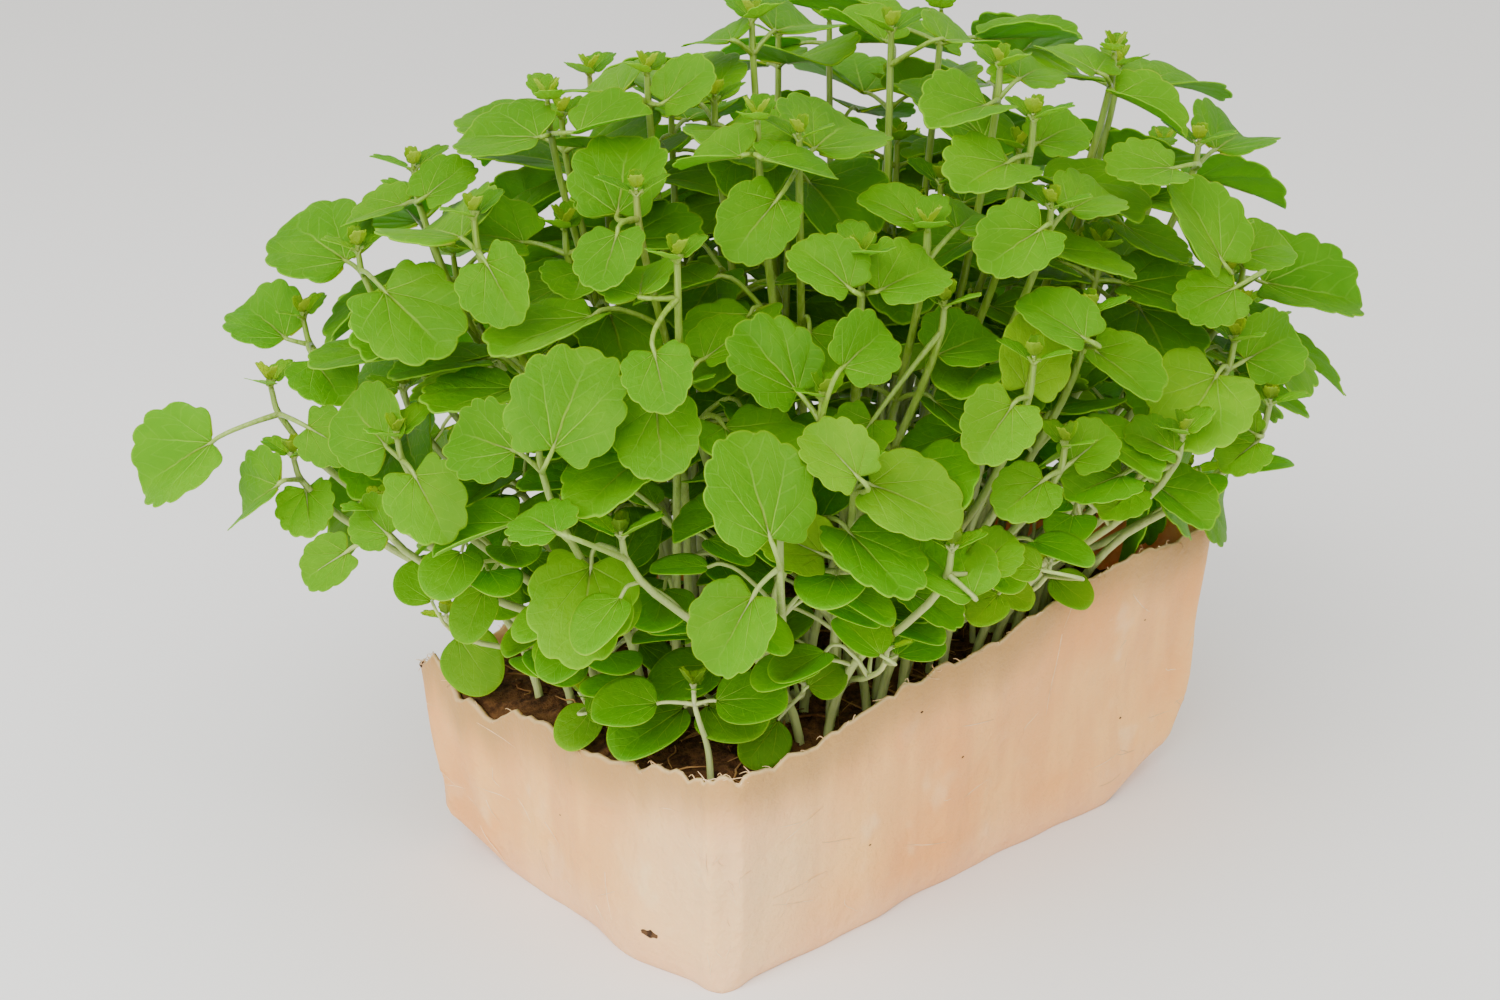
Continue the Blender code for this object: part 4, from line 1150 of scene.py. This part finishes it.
# Leaf tones: deep leaves darker as painted shade, outer leaves brighter as painted light, tip leaflets
# darker as painted shade, young leaves brighter, partly their own paler colour and partly painted light.
DEEP_PAINTED_SHADE_TONE = 0.43
OUTER_PAINTED_LIGHT = 0.14
TIP_SHADE = 0.24
YOUNG_PALE_AND_PAINTED_LIGHT = 0.24
YOUNG_LEAVES = (
    (598, 627), (732, 633), (800, 545), (914, 500), (836, 450), (430, 508), (1196, 408), (1036, 354),
    (996, 428), (475, 662),
)
fine_growth = random.Random(7)


def leaf_tone(leaf, rng):
    """Painted shade makes leaves deep inside darker, and leaflets at the tips too; painted light makes
    outer leaves brighter.
    """
    middle = leaf.base + leaf.axis * (leaf.length * 0.5)
    # Painted shade and light: the tone rises from leaves deep in the canopy to leaves near its outline.
    outer = smooth_step((canopy_level(middle) - 0.25) / 0.7)
    tone = DEEP_PAINTED_SHADE_TONE + OUTER_PAINTED_LIGHT * outer + rng.uniform(-0.12, 0.14)
    if leaf.teeth == 1:
        tone -= TIP_SHADE
    return min(1.0, max(0.05, tone))


def tip_leaves(plant, rng):
    """The two leaflets that still unfold inside the young pair."""
    bud = plant.rings[-1]
    made = []
    for hand in (1, -1):
        way = bud.first * hand
        leaf = small_leaf(bud.centre, way, math.radians(58), 0.0, 0.0036, 1, rng)
        made.append((len(plant.rings) - 1, FRONT, leaf._replace(cup=0.30, droop=-0.2)))
    return made


def fine_seedling(name, plant, replaced, young, rng):
    """Makes one seedling: its blades, then its stem and stalks."""
    shape = bmesh.new()
    leaves = []
    for index, side, leaf in plant.leaves + tip_leaves(plant, rng):
        if leaf.teeth == 1:
            leaf = leaf._replace(length=leaf.length * TIP_SHRINK, width=leaf.width * TIP_SHRINK * 1.1)
        leaves.append((index, side, leaf))
    for number, (_, _, leaf) in enumerate(leaves):
        template = blade_fan if leaf.teeth == 3 else small_fan
        # Young leaves are brighter: partly their own paler colour, partly painted light shining through
        # them.
        tone = leaf_tone(leaf, rng) + (YOUNG_PALE_AND_PAINTED_LIGHT if number in young else 0)
        add_blade(shape, template, leaf, tone, rng)
    blade_faces = len(shape.faces)
    strands = curve_mesh(seedling_curve(Plant(plant.rings, leaves)))
    shape.from_mesh(strands)
    bpy.data.meshes.remove(strands)
    shape.faces.ensure_lookup_table()
    for face in shape.faces[blade_faces:]:
        face.material_index = 1
    return put_piece(name, shape, [leaf_finish, stem_finish], replaced)


photo_rows = PHOTO_SPROUTS + PHOTO_SEEDLINGS + [()] * HIDDEN_SEEDLINGS
for index, (name, plant, row) in enumerate(zip(seedling_names, plants, photo_rows)):
    young = [number for number, spot in enumerate(row[1:]) if spot[:2] in YOUNG_LEAVES]
    fine_seedling(f"fine_{name}", plant, [name], young, fine_growth)
for index, plant in enumerate(inner_plants):
    fine_seedling(f"inner_seedling_{index + 1:02d}", plant, [], (), fine_growth)
print(len(plants), "fine seedlings of the solid model,", len(inner_plants), "in between")

# %% [markdown]
# ## The tray's outline
# The tray is a moulded sheet of plant fibre: a rounded rectangle with walls that widen upwards
# and a torn rim at a different height in each corner. A fine outline follows the solid tray's
# points and adds more between them, so the corners become round and the wall can carry flutes.

# %% Points round the tray
TRAY_INSET = 0.0022
FOOT_EDGE = 0.0018
WALL = 0.0013
RIM_RAGGED = 0.0005
RIM_LEVEL = 0.040
FRONT_RIM = (
    0.0378, 0.0369, 0.0373, 0.0390, 0.0405, 0.0411, 0.0416, 0.0430, 0.0449, 0.0462, 0.0467, 0.0460, 0.0472,
)
LEFT_RIM = (
    0.0378, 0.0358, 0.0345, 0.0331, 0.0317, 0.0315, 0.0315, 0.0318, 0.0315, 0.0285, 0.0305, 0.0335, 0.0325,
)
FAR_RIM = 0.0400
LONG_SIDE_STEPS = 9
SHORT_SIDE_STEPS = 6
CORNER_STEPS = 4
GAP = 0.0004
SOIL_EDGE_DROP = 0.0008
FINER = 8


def tray_columns():
    """Every point round the tray: its column, quarter, share of the corner and share of the side."""
    columns = []
    count = 0
    for quarter in range(4):
        for step in range(CORNER_STEPS * FINER):
            columns.append((count + step / FINER, quarter, step / (CORNER_STEPS * FINER), 0.0))
        count += CORNER_STEPS
        steps = SHORT_SIDE_STEPS if quarter % 2 == 0 else LONG_SIDE_STEPS
        for step in range(steps * FINER):
            columns.append((count + step / FINER, quarter, 1.0, step / (steps * FINER)))
        count += steps
    return columns


COLUMNS = tray_columns()
CORNER_SIGNS = ((1, -1), (1, 1), (-1, 1), (-1, -1))
RIM_RADII = (0.0045, 0.0055, 0.0022, 0.0050)
FOOT_RADII = (0.0080, 0.0065, 0.0050, 0.0045)


def outline_point(column, level, inset):
    """A point of the tray's outline at a height, drawn in by an inset."""
    _, quarter, arc, along = column
    share = level / RIM_LEVEL
    half_x = TRAY_LENGTH / 2 - TRAY_INSET * (1 - share) - inset
    half_y = TRAY_WIDTH / 2 - TRAY_INSET * (1 - share) - inset
    turn = math.pi / 2 * (quarter - 1 + arc)
    way = Vector((math.cos(turn), math.sin(turn)))
    ends = []
    for corner in (quarter, (quarter + 1) % 4):
        radius = blend(FOOT_RADII[corner], RIM_RADII[corner], min(1, share)) - inset * 0.6
        sign_x, sign_y = CORNER_SIGNS[corner]
        ends.append(Vector((sign_x * (half_x - radius), sign_y * (half_y - radius))) + way * radius)
    return ends[0].lerp(ends[1], along)


def wall_point(column, level, inset):
    """A point of the soft wall, which stands out or in a little."""
    flat = outline_point(column, level, inset)
    share = level / RIM_LEVEL
    soft = 0.0005 * math.sin(column[0] * 1.9) * math.sin(share * math.pi)
    soft += 0.0006 * share * math.sin(column[0] * 0.37)
    return Vector((*(flat + flat.normalized() * soft), level))


def along_rim(heights, share):
    """The height at a share of the way along a row of evenly spaced rim heights."""
    place = min(1.0, max(0.0, share)) * (len(heights) - 1)
    step = min(len(heights) - 2, int(place))
    return blend(heights[step], heights[step + 1], place - step)


def rim_height(index, x, y):
    """The torn rim's height: by the rows of heights along two sides, straight along the others."""
    share_x = x / TRAY_LENGTH + 0.5
    share_y = y / TRAY_WIDTH + 0.5
    back = blend(LEFT_RIM[-1], FAR_RIM, share_x)
    right = blend(FRONT_RIM[-1], FAR_RIM, share_y)
    level = blend(along_rim(FRONT_RIM, share_x), back, share_y)
    level += blend(along_rim(LEFT_RIM, share_y), right, share_x)
    level -= blend(blend(LEFT_RIM[0], FRONT_RIM[-1], share_x), back, share_y)
    ragged = noise.noise(Vector((index * 0.8, 3.1, 0.5))) + 0.6 * math.sin(index * 2.4)
    return level + RIM_RAGGED * ragged


print(len(COLUMNS), "points round the tray")

# %% [markdown]
# ## Tray finish
# The fibre sheet is peach and tan, a little waxy and lets some light through. It is mottled in
# soft clouds and upright streaks, and has a darker tan band under the rim. That band
# follows the torn rim, because every point of the tray carries its depth below the rim as an
# attribute. Noise at two sizes gives the crumpled surface.

# %% Tray material
fibre_finish, fibre_shader = new_finish(
    "moulded_fibre", 0.50, Specular_IOR_Level=0.35, Subsurface_Weight=0.25, Subsurface_Scale=0.004,
)
fibre_shader.inputs["Subsurface Radius"].default_value = (1.0, 0.6, 0.35)
clouds = speckle(fibre_finish, 42, 4)
cloudy = soft_range(fibre_finish, clouds, 0.35, 0.65)
colour = mixed(fibre_finish, cloudy, (0.90, 0.385, 0.105), (1.0, 0.51, 0.165))
blotch = soft_range(fibre_finish, speckle(fibre_finish, 85, 3, 0.6), 0.55, 0.72)
colour = tinted(fibre_finish, colour, blotch, 0.30, (0.76, 0.35, 0.13))
pale = soft_range(fibre_finish, speckle(fibre_finish, 130, 2), 0.58, 0.75)
colour = tinted(fibre_finish, colour, pale, 0.35, (1.0, 0.70, 0.38))
streaks = soft_range(fibre_finish, speckle(fibre_finish, 150, 2, 0.5, (1, 1, 0.16)), 0.42, 0.62)
colour = tinted(fibre_finish, colour, streaks, 0.50, (0.78, 0.34, 0.11))


# %% The band under the rim, the pale foot, the near corner's painted highlight and the browner right corner
def distance(material, place, centre):
    """How far a place is from a centre."""
    made = node(material, "ShaderNodeVectorMath", {0: place, 1: centre}, operation="DISTANCE")
    return made.outputs["Value"]


place = node(fibre_finish, "ShaderNodeTexCoord").outputs["Object"]
height = node(fibre_finish, "ShaderNodeSeparateXYZ", {0: place}).outputs[2]
# Painted highlight: the wall's colour is lightened around the near corner.
near = soft_range(fibre_finish, distance(fibre_finish, place, (-0.056, -0.034, 0.014)), 0.030, 0.006)
colour = tinted(fibre_finish, colour, near, 0.45, (1.0, 0.76, 0.44))
foot = sums(fibre_finish, "MULTIPLY_ADD", clouds, -0.012, height)
foot = soft_range(fibre_finish, foot, 0.004, -0.006)
colour = tinted(fibre_finish, colour, foot, 0.5, (0.88, 0.54, 0.32))
below = node(fibre_finish, "ShaderNodeAttribute", attribute_name="below_rim").outputs["Fac"]
# A darker tan band under the torn rim; the inner wall, whose depth below the rim is 0, takes it all over.
wavy = sums(fibre_finish, "MULTIPLY_ADD", clouds, -0.010, below)
under_rim_band = soft_range(fibre_finish, wavy, 0.0065, -0.0040)
colour = tinted(fibre_finish, colour, under_rim_band, 0.82, (0.43, 0.25, 0.07))
# The top of the right near corner is browner.
brown_right_corner = soft_range(fibre_finish, distance(fibre_finish, place, (0.060, -0.038, 0.050)), 0.022, 0.002)
colour = tinted(fibre_finish, colour, brown_right_corner, 0.6, (0.38, 0.22, 0.06))
frayed = soft_range(fibre_finish, below, 0.0006, 0.0)
colour = tinted(fibre_finish, colour, frayed, 0.55, (0.86, 0.62, 0.32))
fibres = speckle(fibre_finish, 520, 3, 0.6)
crumple = speckle(fibre_finish, 170, 4, 0.6)
grain = sums(fibre_finish, "MULTIPLY_ADD", crumple, 2.4, fibres)
finish_with(fibre_finish, fibre_shader, colour, grain, 0.00034)

# %% [markdown]
# ## The tray
# The tray is a flat grid rolled into a tube: its rows become rings that climb the outer wall,
# turn over the torn rim and go down the inner wall, then the seam is welded and the two open
# ends are filled as underside and floor. The wall has soft upright flutes and dents, it bulges
# and curls up a little at the foot, and the rim has fine ragged tears. A bulge is a place on the
# wall, its width and its depth, and a lifted corner is a place, its reach and its rise.

# %% Build the tray
OUTER_LEVELS = (
    0.0, 0.0004, 0.0012, 0.003, 0.006, 0.009, 0.012, 0.015, 0.018, 0.021, 0.024, 0.027, 0.029, 0.031,
)
RIM_SHARES = (0.25, 0.5, 0.7, 0.85, 0.95, 1.0)
MIDDLE_LEVEL = 0.018
INNER_LEVELS = (0.031, 0.027, 0.020, 0.010, 0.003, 0.0013)
BULGES = (
    ((-0.058, -0.018), 0.014, 0.0034),
    ((-0.030, -0.036), 0.018, 0.0014),
    ((0.038, -0.036), 0.012, 0.0026),
)
LIFTS = (((-0.0580, 0.0360), 0.015, 0.0055), ((0.0590, -0.0360), 0.022, 0.0060))


def flutes(column, level):
    """How far the wall's upright flutes and dents and its soft foot stand out."""
    share = level / RIM_LEVEL
    flat = outline_point(column, RIM_LEVEL, 0)
    wave = noise.noise(Vector((flat.x * 150, flat.y * 150, share * 0.8))) * 0.0009
    dent = noise.noise(Vector((flat.x * 60, flat.y * 60, share * 2.5 + 9))) * 0.0014
    out = (wave + dent) * math.sin(math.pi * min(1, share * 0.9 + 0.05))
    for (x, y), width, depth in BULGES:
        away = math.hypot(flat.x - x, flat.y - y) / width
        out += depth * math.exp(-away * away) * smooth_step(1 - level / 0.022)
    return out


def foot_lift(x, y, level):
    """How far the underside curls up at two corners of the foot."""
    lift = 0.0
    for (corner_x, corner_y), width, rise in LIFTS:
        near = max(0.0, 1 - math.hypot(x - corner_x, y - corner_y) / width)
        lift += rise * near * max(0.0, 1 - level / 0.014)
    return lift


def wall_side(column, level, inset):
    """A point of the finished wall, with its flutes, its bulges and its lifted corners."""
    point = wall_point(column, level, inset)
    top = outline_point(column, RIM_LEVEL, 0)
    point += Vector((point.x, point.y, 0)).normalized() * flutes(column, level)
    point.z += foot_lift(top.x, top.y, level)
    return point


def torn(column, x, y):
    """The rim's height with its fine tears."""
    ragged = noise.noise(Vector((x * 380, y * 380, 2.0))) * 0.0011
    ragged += noise.noise(Vector((x * 1200, y * 1200, 6.0))) * 0.0005
    nick = max(0.0, noise.noise(Vector((x * 240, y * 240, 8.0))) - 0.30) * 0.005
    tip = 0.0022 * max(0.0, 1 - math.hypot(x - 0.0595, y + 0.0360) / 0.0035) ** 1.5
    tip += 0.0022 * max(0.0, 1 - math.hypot(x + 0.0600, y - 0.0330) / 0.0030) ** 1.5
    return rim_height(column[0], x, y) + ragged - nick + tip


def crumpled_foot(column, level):
    """How far the foot is drawn in, less the crumpled lip at the near corner."""
    flat = outline_point(column, 0, 0)
    wave = noise.noise(Vector((flat.x * 90, flat.y * 90, 13.0)))
    high = 0.0030 + 0.0018 * wave
    inset = (FOOT_EDGE * 0.6 + 0.0010 * wave) * max(0.0, 1 - level / high) ** 2
    near = max(0.0, 1 - (flat - Vector((-0.0565, -0.0345))).length / 0.0055)
    return inset - near * max(0.0, 1 - level / 0.003) * 0.0014


def tray_ring(kind, value):
    """The points of one ring of the tray, and how far each is below the rim."""
    points = []
    for column in COLUMNS:
        rim = torn(column, *outline_point(column, RIM_LEVEL, 0))
        shoulder = min(OUTER_LEVELS[-1], rim - 0.002)
        level = value
        if value > MIDDLE_LEVEL:
            share = (value - MIDDLE_LEVEL) / (OUTER_LEVELS[-1] - MIDDLE_LEVEL)
            level = blend(MIDDLE_LEVEL, shoulder, share)
        inset = crumpled_foot(column, value)
        if kind == "inner":
            inset = WALL + (FOOT_EDGE if value < 0.002 else 0)
        if kind in ("outer_rim", "inner_rim"):
            level = blend(shoulder, rim, value)
            worn = 0.00045 * max(0.0, value - 0.80) / 0.20
            inset = worn if kind == "outer_rim" else WALL - worn
        below = rim - level if kind.startswith("outer") else 0.0
        points.append((*wall_side(column, level, inset), below))
    return points


def tube(rings):
    """A grid rolled into a tube through rings of points, welded along its seam, its ends closed."""
    shape = bmesh.new()
    count = len(rings[0])
    depth_layer = shape.verts.layers.float.new("below_rim")
    bmesh.ops.create_grid(shape, x_segments=count, y_segments=len(rings) - 1, size=1)
    shape.verts.ensure_lookup_table()
    for index, corner in enumerate(shape.verts):
        point = rings[index // (count + 1)][index % (count + 1) % count]
        corner.co = point[:3]
        corner[depth_layer] = point[3] if len(point) > 3 else 0
    bmesh.ops.remove_doubles(shape, verts=shape.verts, dist=1e-6)
    bmesh.ops.holes_fill(shape, edges=shape.edges, sides=0)
    bmesh.ops.recalc_face_normals(shape, faces=shape.faces)
    return shape


rings = [tray_ring("outer", level) for level in OUTER_LEVELS]
rings += [tray_ring("outer_rim", share) for share in RIM_SHARES]
rings += [tray_ring("inner_rim", share) for share in reversed(RIM_SHARES)]
rings += [tray_ring("inner", level) for level in INNER_LEVELS]
shape = tube(rings)
print("tray:", len(shape.faces), "faces")
tray_skin = BVHTree.FromBMesh(shape)
put_piece("moulded_tray", shape, [fibre_finish], ["tray"])

# %% [markdown]
# ## Fibres of the tray
# Where the sheet is torn, single plant fibres stick out of the rim, and others lie pressed into
# the walls as pale hairs. They are curves with a hair's thickness, made into one mesh. The long
# scratches are given by the pixels that they pass, and are laid on the wall along the sight lines.

# %% Hairs on the rim and the walls
RIM_HAIRS = 260
WALL_HAIRS = 110
hair_growth = random.Random(5)
SCRATCHES = (
    ((1077, 588), (1070, 612), (1064, 628)),
    ((1062, 634), (1056, 665), (1050, 690), (1046, 716)),
    ((1133, 594), (1142, 606), (1150, 612)),
    ((1126, 640), (1120, 648)),
    ((545, 822), (552, 833), (560, 846)),
    ((634, 735), (641, 750), (646, 780)),
    ((518, 862), (522, 876)),
    ((605, 872), (607, 895), (612, 920)),
    ((596, 905), (603, 918), (608, 924)),
    ((486, 800), (492, 812), (500, 822)),
    ((540, 850), (546, 868), (552, 880)),
)


def rim_hair(rng):
    """Points of a fibre that sticks out of the torn rim."""
    column = rng.choice(COLUMNS)
    start = wall_side(column, torn(column, *outline_point(column, RIM_LEVEL, 0)) - 0.0003, WALL / 2)
    out = Vector((start.x, start.y, 0)).normalized()
    way = out * rng.uniform(-0.6, 1.0) + UP * rng.uniform(0.2, 1.0) + UP.cross(out) * rng.uniform(-1.2, 1.2)
    bend = Vector([rng.uniform(-1, 1) for _ in range(3)]) * 0.0005
    length = rng.uniform(0.0006, 0.0022)
    return [start, start + way * length * 0.5 + bend, start + way * length - UP * length * 0.3]


def wall_hair(rng):
    """Points of a fibre pressed into the outer wall."""
    start = rng.randrange(len(COLUMNS))
    level = rng.uniform(0.004, 0.028)
    lean = rng.uniform(-2.5, 2.5)
    climb = rng.uniform(-0.0012, 0.0012)
    points = []
    for step in range(4):
        column = COLUMNS[int(start + lean * step) % len(COLUMNS)]
        point = wall_side(column, level + climb * step, -0.00002)
        points.append(point + Vector([rng.uniform(-1, 1) for _ in range(3)]) * 0.00005)
    return points


curve = new_curve("fibre_curve", 0, 2)
for _ in range(RIM_HAIRS):
    add_strand(curve, rim_hair(hair_growth), (0.00009, 0.00007, 0.00004))
for _ in range(WALL_HAIRS):
    add_strand(curve, wall_hair(hair_growth), (0.00005, 0.00009, 0.00009, 0.00003))
for scratch in SCRATCHES:
    spots = [tray_skin.ray_cast(EYE, sight_line(*pixel))[0] for pixel in scratch]
    spots = [spot for spot in spots if spot]
    if len(spots) > 1:
        add_strand(curve, spots, [0.00013] * (len(spots) - 1) + [0.00004])
hair_finish, hair_shader = new_finish("pale_fibre", 0.6, Specular_IOR_Level=0.3)
tone_mix = soft_range(hair_finish, speckle(hair_finish, 200), 0.35, 0.65)
colour = mixed(hair_finish, tone_mix, (0.72, 0.44, 0.20), (0.95, 0.68, 0.38))
finish_with(hair_finish, hair_shader, colour)
shape = bmesh.new()
shape.from_mesh(curve_mesh(curve))
print("fibres:", len(shape.faces), "faces")
put_piece("tray_fibres", shape, [hair_finish])

# %% [markdown]
# ## Specks on the tray
# A few crumbs of soil and small holes mark the sheet. Each is a dark flattened ball laid on the
# wall where the photograph's line of sight meets it; for a hole, its dark colour is painted shade and soil
# inside it.

# %% Lay the specks
SPECKS = (
    ((650, 934), 0.00085), ((644, 932), 0.00050), ((655, 936), 0.00045), ((775, 759), 0.00080),
    ((423, 664), 0.00070), ((419, 660), 0.00045), ((414, 641), 0.00040), ((823, 733), 0.00028),
    ((1120, 718), 0.00024), ((922, 712), 0.00022), ((963, 757), 0.00020), ((1145, 620), 0.00020),
    ((560, 815), 0.00018), ((870, 845), 0.00018),
)
# Dark brown: the soil crumbs' own colour, and for the holes painted shade and the soil inside them.
speck_finish, speck_shader = new_finish("crumb_and_hole_shade", 0.8, Specular_IOR_Level=0.2)
tone_mix = soft_range(speck_finish, speckle(speck_finish, 900), 0.4, 0.6)
colour = mixed(speck_finish, tone_mix, (0.030, 0.014, 0.006), (0.10, 0.05, 0.02))
finish_with(speck_finish, speck_shader, colour)
shape = bmesh.new()
for (across, down), size in SPECKS:
    spot, normal, _, _ = tray_skin.ray_cast(EYE, sight_line(across, down))
    if spot is None:
        continue
    place = Matrix.Translation(spot) @ normal.to_track_quat("Z", "Y").to_matrix().to_4x4()
    place = place @ Matrix.Diagonal((1.5, 0.8, 0.18, 1))
    ball = bmesh.ops.create_icosphere(shape, subdivisions=2, radius=size, matrix=place)["verts"]
    for corner in ball:
        wobble = noise.noise(corner.co * 2200)
        corner.co += (corner.co - spot) * wobble * 0.5
print("specks:", len(shape.faces), "faces")
put_piece("tray_specks", shape, [speck_finish])

# %% [markdown]
# ## Soil finish
# The soil is brown coir: crumbs and short fibres, dark where it is damp. Dry strands lie on it.

# %% Soil material
earth_finish, earth_shader = new_finish("coir_soil", 0.92, Specular_IOR_Level=0.15)
crumbs = speckle(earth_finish, 620, 5, 0.7)
crumbly = soft_range(earth_finish, crumbs, 0.35, 0.65)
colour = mixed(earth_finish, crumbly, (0.035, 0.014, 0.005), (0.16, 0.070, 0.022))
patches = soft_range(earth_finish, speckle(earth_finish, 120, 3), 0.5, 0.75)
colour = tinted(earth_finish, colour, patches, 0.5, (0.24, 0.11, 0.035))
finish_with(earth_finish, earth_shader, colour, crumbs, 0.0008)

# %% [markdown]
# ## The soil
# The soil fills the tray to a little under its rim. It is a tube of rings from the floor up the
# wall, then in over the top to the middle, whose points are lifted by noise at three sizes.

# %% Build the soil
TOP_RINGS = 44


def lumpy(x, y):
    """The height of the fine soil."""
    clods = noise.noise(Vector((x * 420, y * 420, 1.0))) * 0.0009
    grains = noise.noise(Vector((x * 1100, y * 1100, 3.0))) * 0.0005
    return soil_height(x, y) + clods + grains


def soil_ring(share):
    """One ring of the soil's top: share 1 is at the wall, 0 in the middle."""
    points = []
    for column in COLUMNS:
        brim = wall_side(column, 0.030, WALL + GAP)
        x, y = brim.x * share, brim.y * share
        limit = rim_height(column[0], brim.x, brim.y) - 0.0012 + (1 - share) * 0.06
        points.append(Vector((x, y, min(limit, lumpy(x, y) - SOIL_EDGE_DROP * share ** 8))))
    return points


rings = [[wall_side(column, level, WALL + GAP + inset) for column in COLUMNS]
         for level, inset in ((WALL + GAP, FOOT_EDGE), (0.003, 0), (0.012, 0), (0.020, 0), (0.025, 0))]
rings += [soil_ring(max(0.01, 1 - step / TOP_RINGS)) for step in range(TOP_RINGS + 1)]
shape = tube(rings)
print("soil:", len(shape.faces), "faces")
put_piece("coir_soil", shape, [earth_finish], ["soil"])

# %% [markdown]
# ## Coir strands and crumbs
# Dry coir strands lie across the soil and crumbs are strewn between the stems. The strands are
# thin curves, the crumbs small dented balls.

# %% Strew strands and crumbs
STRANDS = 240
CRUMBS = 320
strewing = random.Random(11)


def soil_spot(rng):
    """A point on the soil's top, inside the wall."""
    x = rng.uniform(-0.94, 0.94) * (TRAY_LENGTH / 2 - 0.003)
    y = rng.uniform(-0.94, 0.94) * (TRAY_WIDTH / 2 - 0.003)
    return Vector((x, y, lumpy(x, y)))


curve = new_curve("coir_curve", 0, 2)
for _ in range(STRANDS):
    start = soil_spot(strewing)
    turn = strewing.uniform(0, math.tau)
    way = Vector((math.cos(turn), math.sin(turn), 0)) * strewing.uniform(0.002, 0.006)
    if abs(start.x + 2 * way.x) > 0.056 or abs(start.y + 2 * way.y) > 0.034:
        way = -way
    points = []
    for step in range(4):
        point = start + way * step * 0.6 + way.cross(UP) * strewing.uniform(-0.25, 0.25)
        point.z = lumpy(point.x, point.y) + strewing.uniform(0.0, 0.0010)
        points.append(point)
    thick = strewing.uniform(0.00008, 0.00024)
    add_strand(curve, points, (thick * 0.6, thick, thick, thick * 0.4))
coir_finish, coir_shader = new_finish("dry_coir", 0.85, Specular_IOR_Level=0.2)
tone_mix = soft_range(coir_finish, speckle(coir_finish, 150), 0.35, 0.65)
colour = mixed(coir_finish, tone_mix, (0.14, 0.050, 0.012), (0.46, 0.25, 0.08))
finish_with(coir_finish, coir_shader, colour)
shape = bmesh.new()
shape.from_mesh(curve_mesh(curve))
put_piece("coir_strands", shape, [coir_finish])
shape = bmesh.new()
for _ in range(CRUMBS):
    spot = soil_spot(strewing)
    place = Matrix.Translation(spot) @ Matrix.Rotation(strewing.uniform(0, math.tau), 4, "Z")
    place = place @ Matrix.Diagonal((1.3, 1.0, 0.7, 1))
    size = strewing.uniform(0.0003, 0.0009)
    for corner in bmesh.ops.create_icosphere(shape, subdivisions=1, radius=size, matrix=place)["verts"]:
        corner.co += (corner.co - spot) * strewing.uniform(-0.35, 0.35)
print("crumbs:", len(shape.faces), "faces")
put_piece("soil_crumbs", shape, [earth_finish])

# %% [markdown]
# ## Floor and light
# The floor is plain and pale, and so is the light: a bright even sky, one large soft lamp from
# above the camera's left shoulder, and a weaker one from the right.

# %% Floor and lights
floor_finish, floor_shader = new_finish("floor", 0.7)
tint = speckle(floor_finish, 3, 2)
colour = mixed(floor_finish, tint, (0.86, 0.86, 0.86), (0.90, 0.90, 0.90))
finish_with(floor_finish, floor_shader, colour)
shape = bmesh.new()
bmesh.ops.create_grid(shape, x_segments=1, y_segments=1, size=3)
mesh = bpy.data.meshes.new("floor")
shape.to_mesh(mesh)
shape.free()
mesh.materials.append(floor_finish)
floor = bpy.data.objects.new("floor", mesh)
bpy.context.scene.collection.objects.link(floor)


def soft_lamp(name, turn, rise, distance, size, power):
    """A square lamp that faces the plants from a turn and a rise in degrees."""
    data = bpy.data.lights.new(name, "AREA")
    data.size = size
    data.energy = power
    turn, rise = math.radians(turn), math.radians(rise)
    way = Vector((math.sin(turn) * math.cos(rise), -math.cos(turn) * math.cos(rise), math.sin(rise)))
    lamp = bpy.data.objects.new(name, data)
    lamp.location = VIEW_AIM + way * distance
    lamp.rotation_euler = way.to_track_quat("Z", "Y").to_euler()
    bpy.context.scene.collection.objects.link(lamp)


soft_lamp("key", -72, 38, 0.9, 0.8, 12.5)
soft_lamp("fill", 5, 42, 1.2, 0.9, 4)
world = bpy.data.worlds.new("sky")
world.use_nodes = True
world.node_tree.nodes["Background"].inputs["Color"].default_value = (1, 0.98, 0.93, 1)
world.node_tree.nodes["Background"].inputs["Strength"].default_value = 1.18
bpy.context.scene.world = world

# %% [markdown]
# ## Last step
# The dressed model has to keep the solid model's size. The last cell brings the scene up to date.

# %% Bring the scene up to date
bpy.context.view_layer.update()
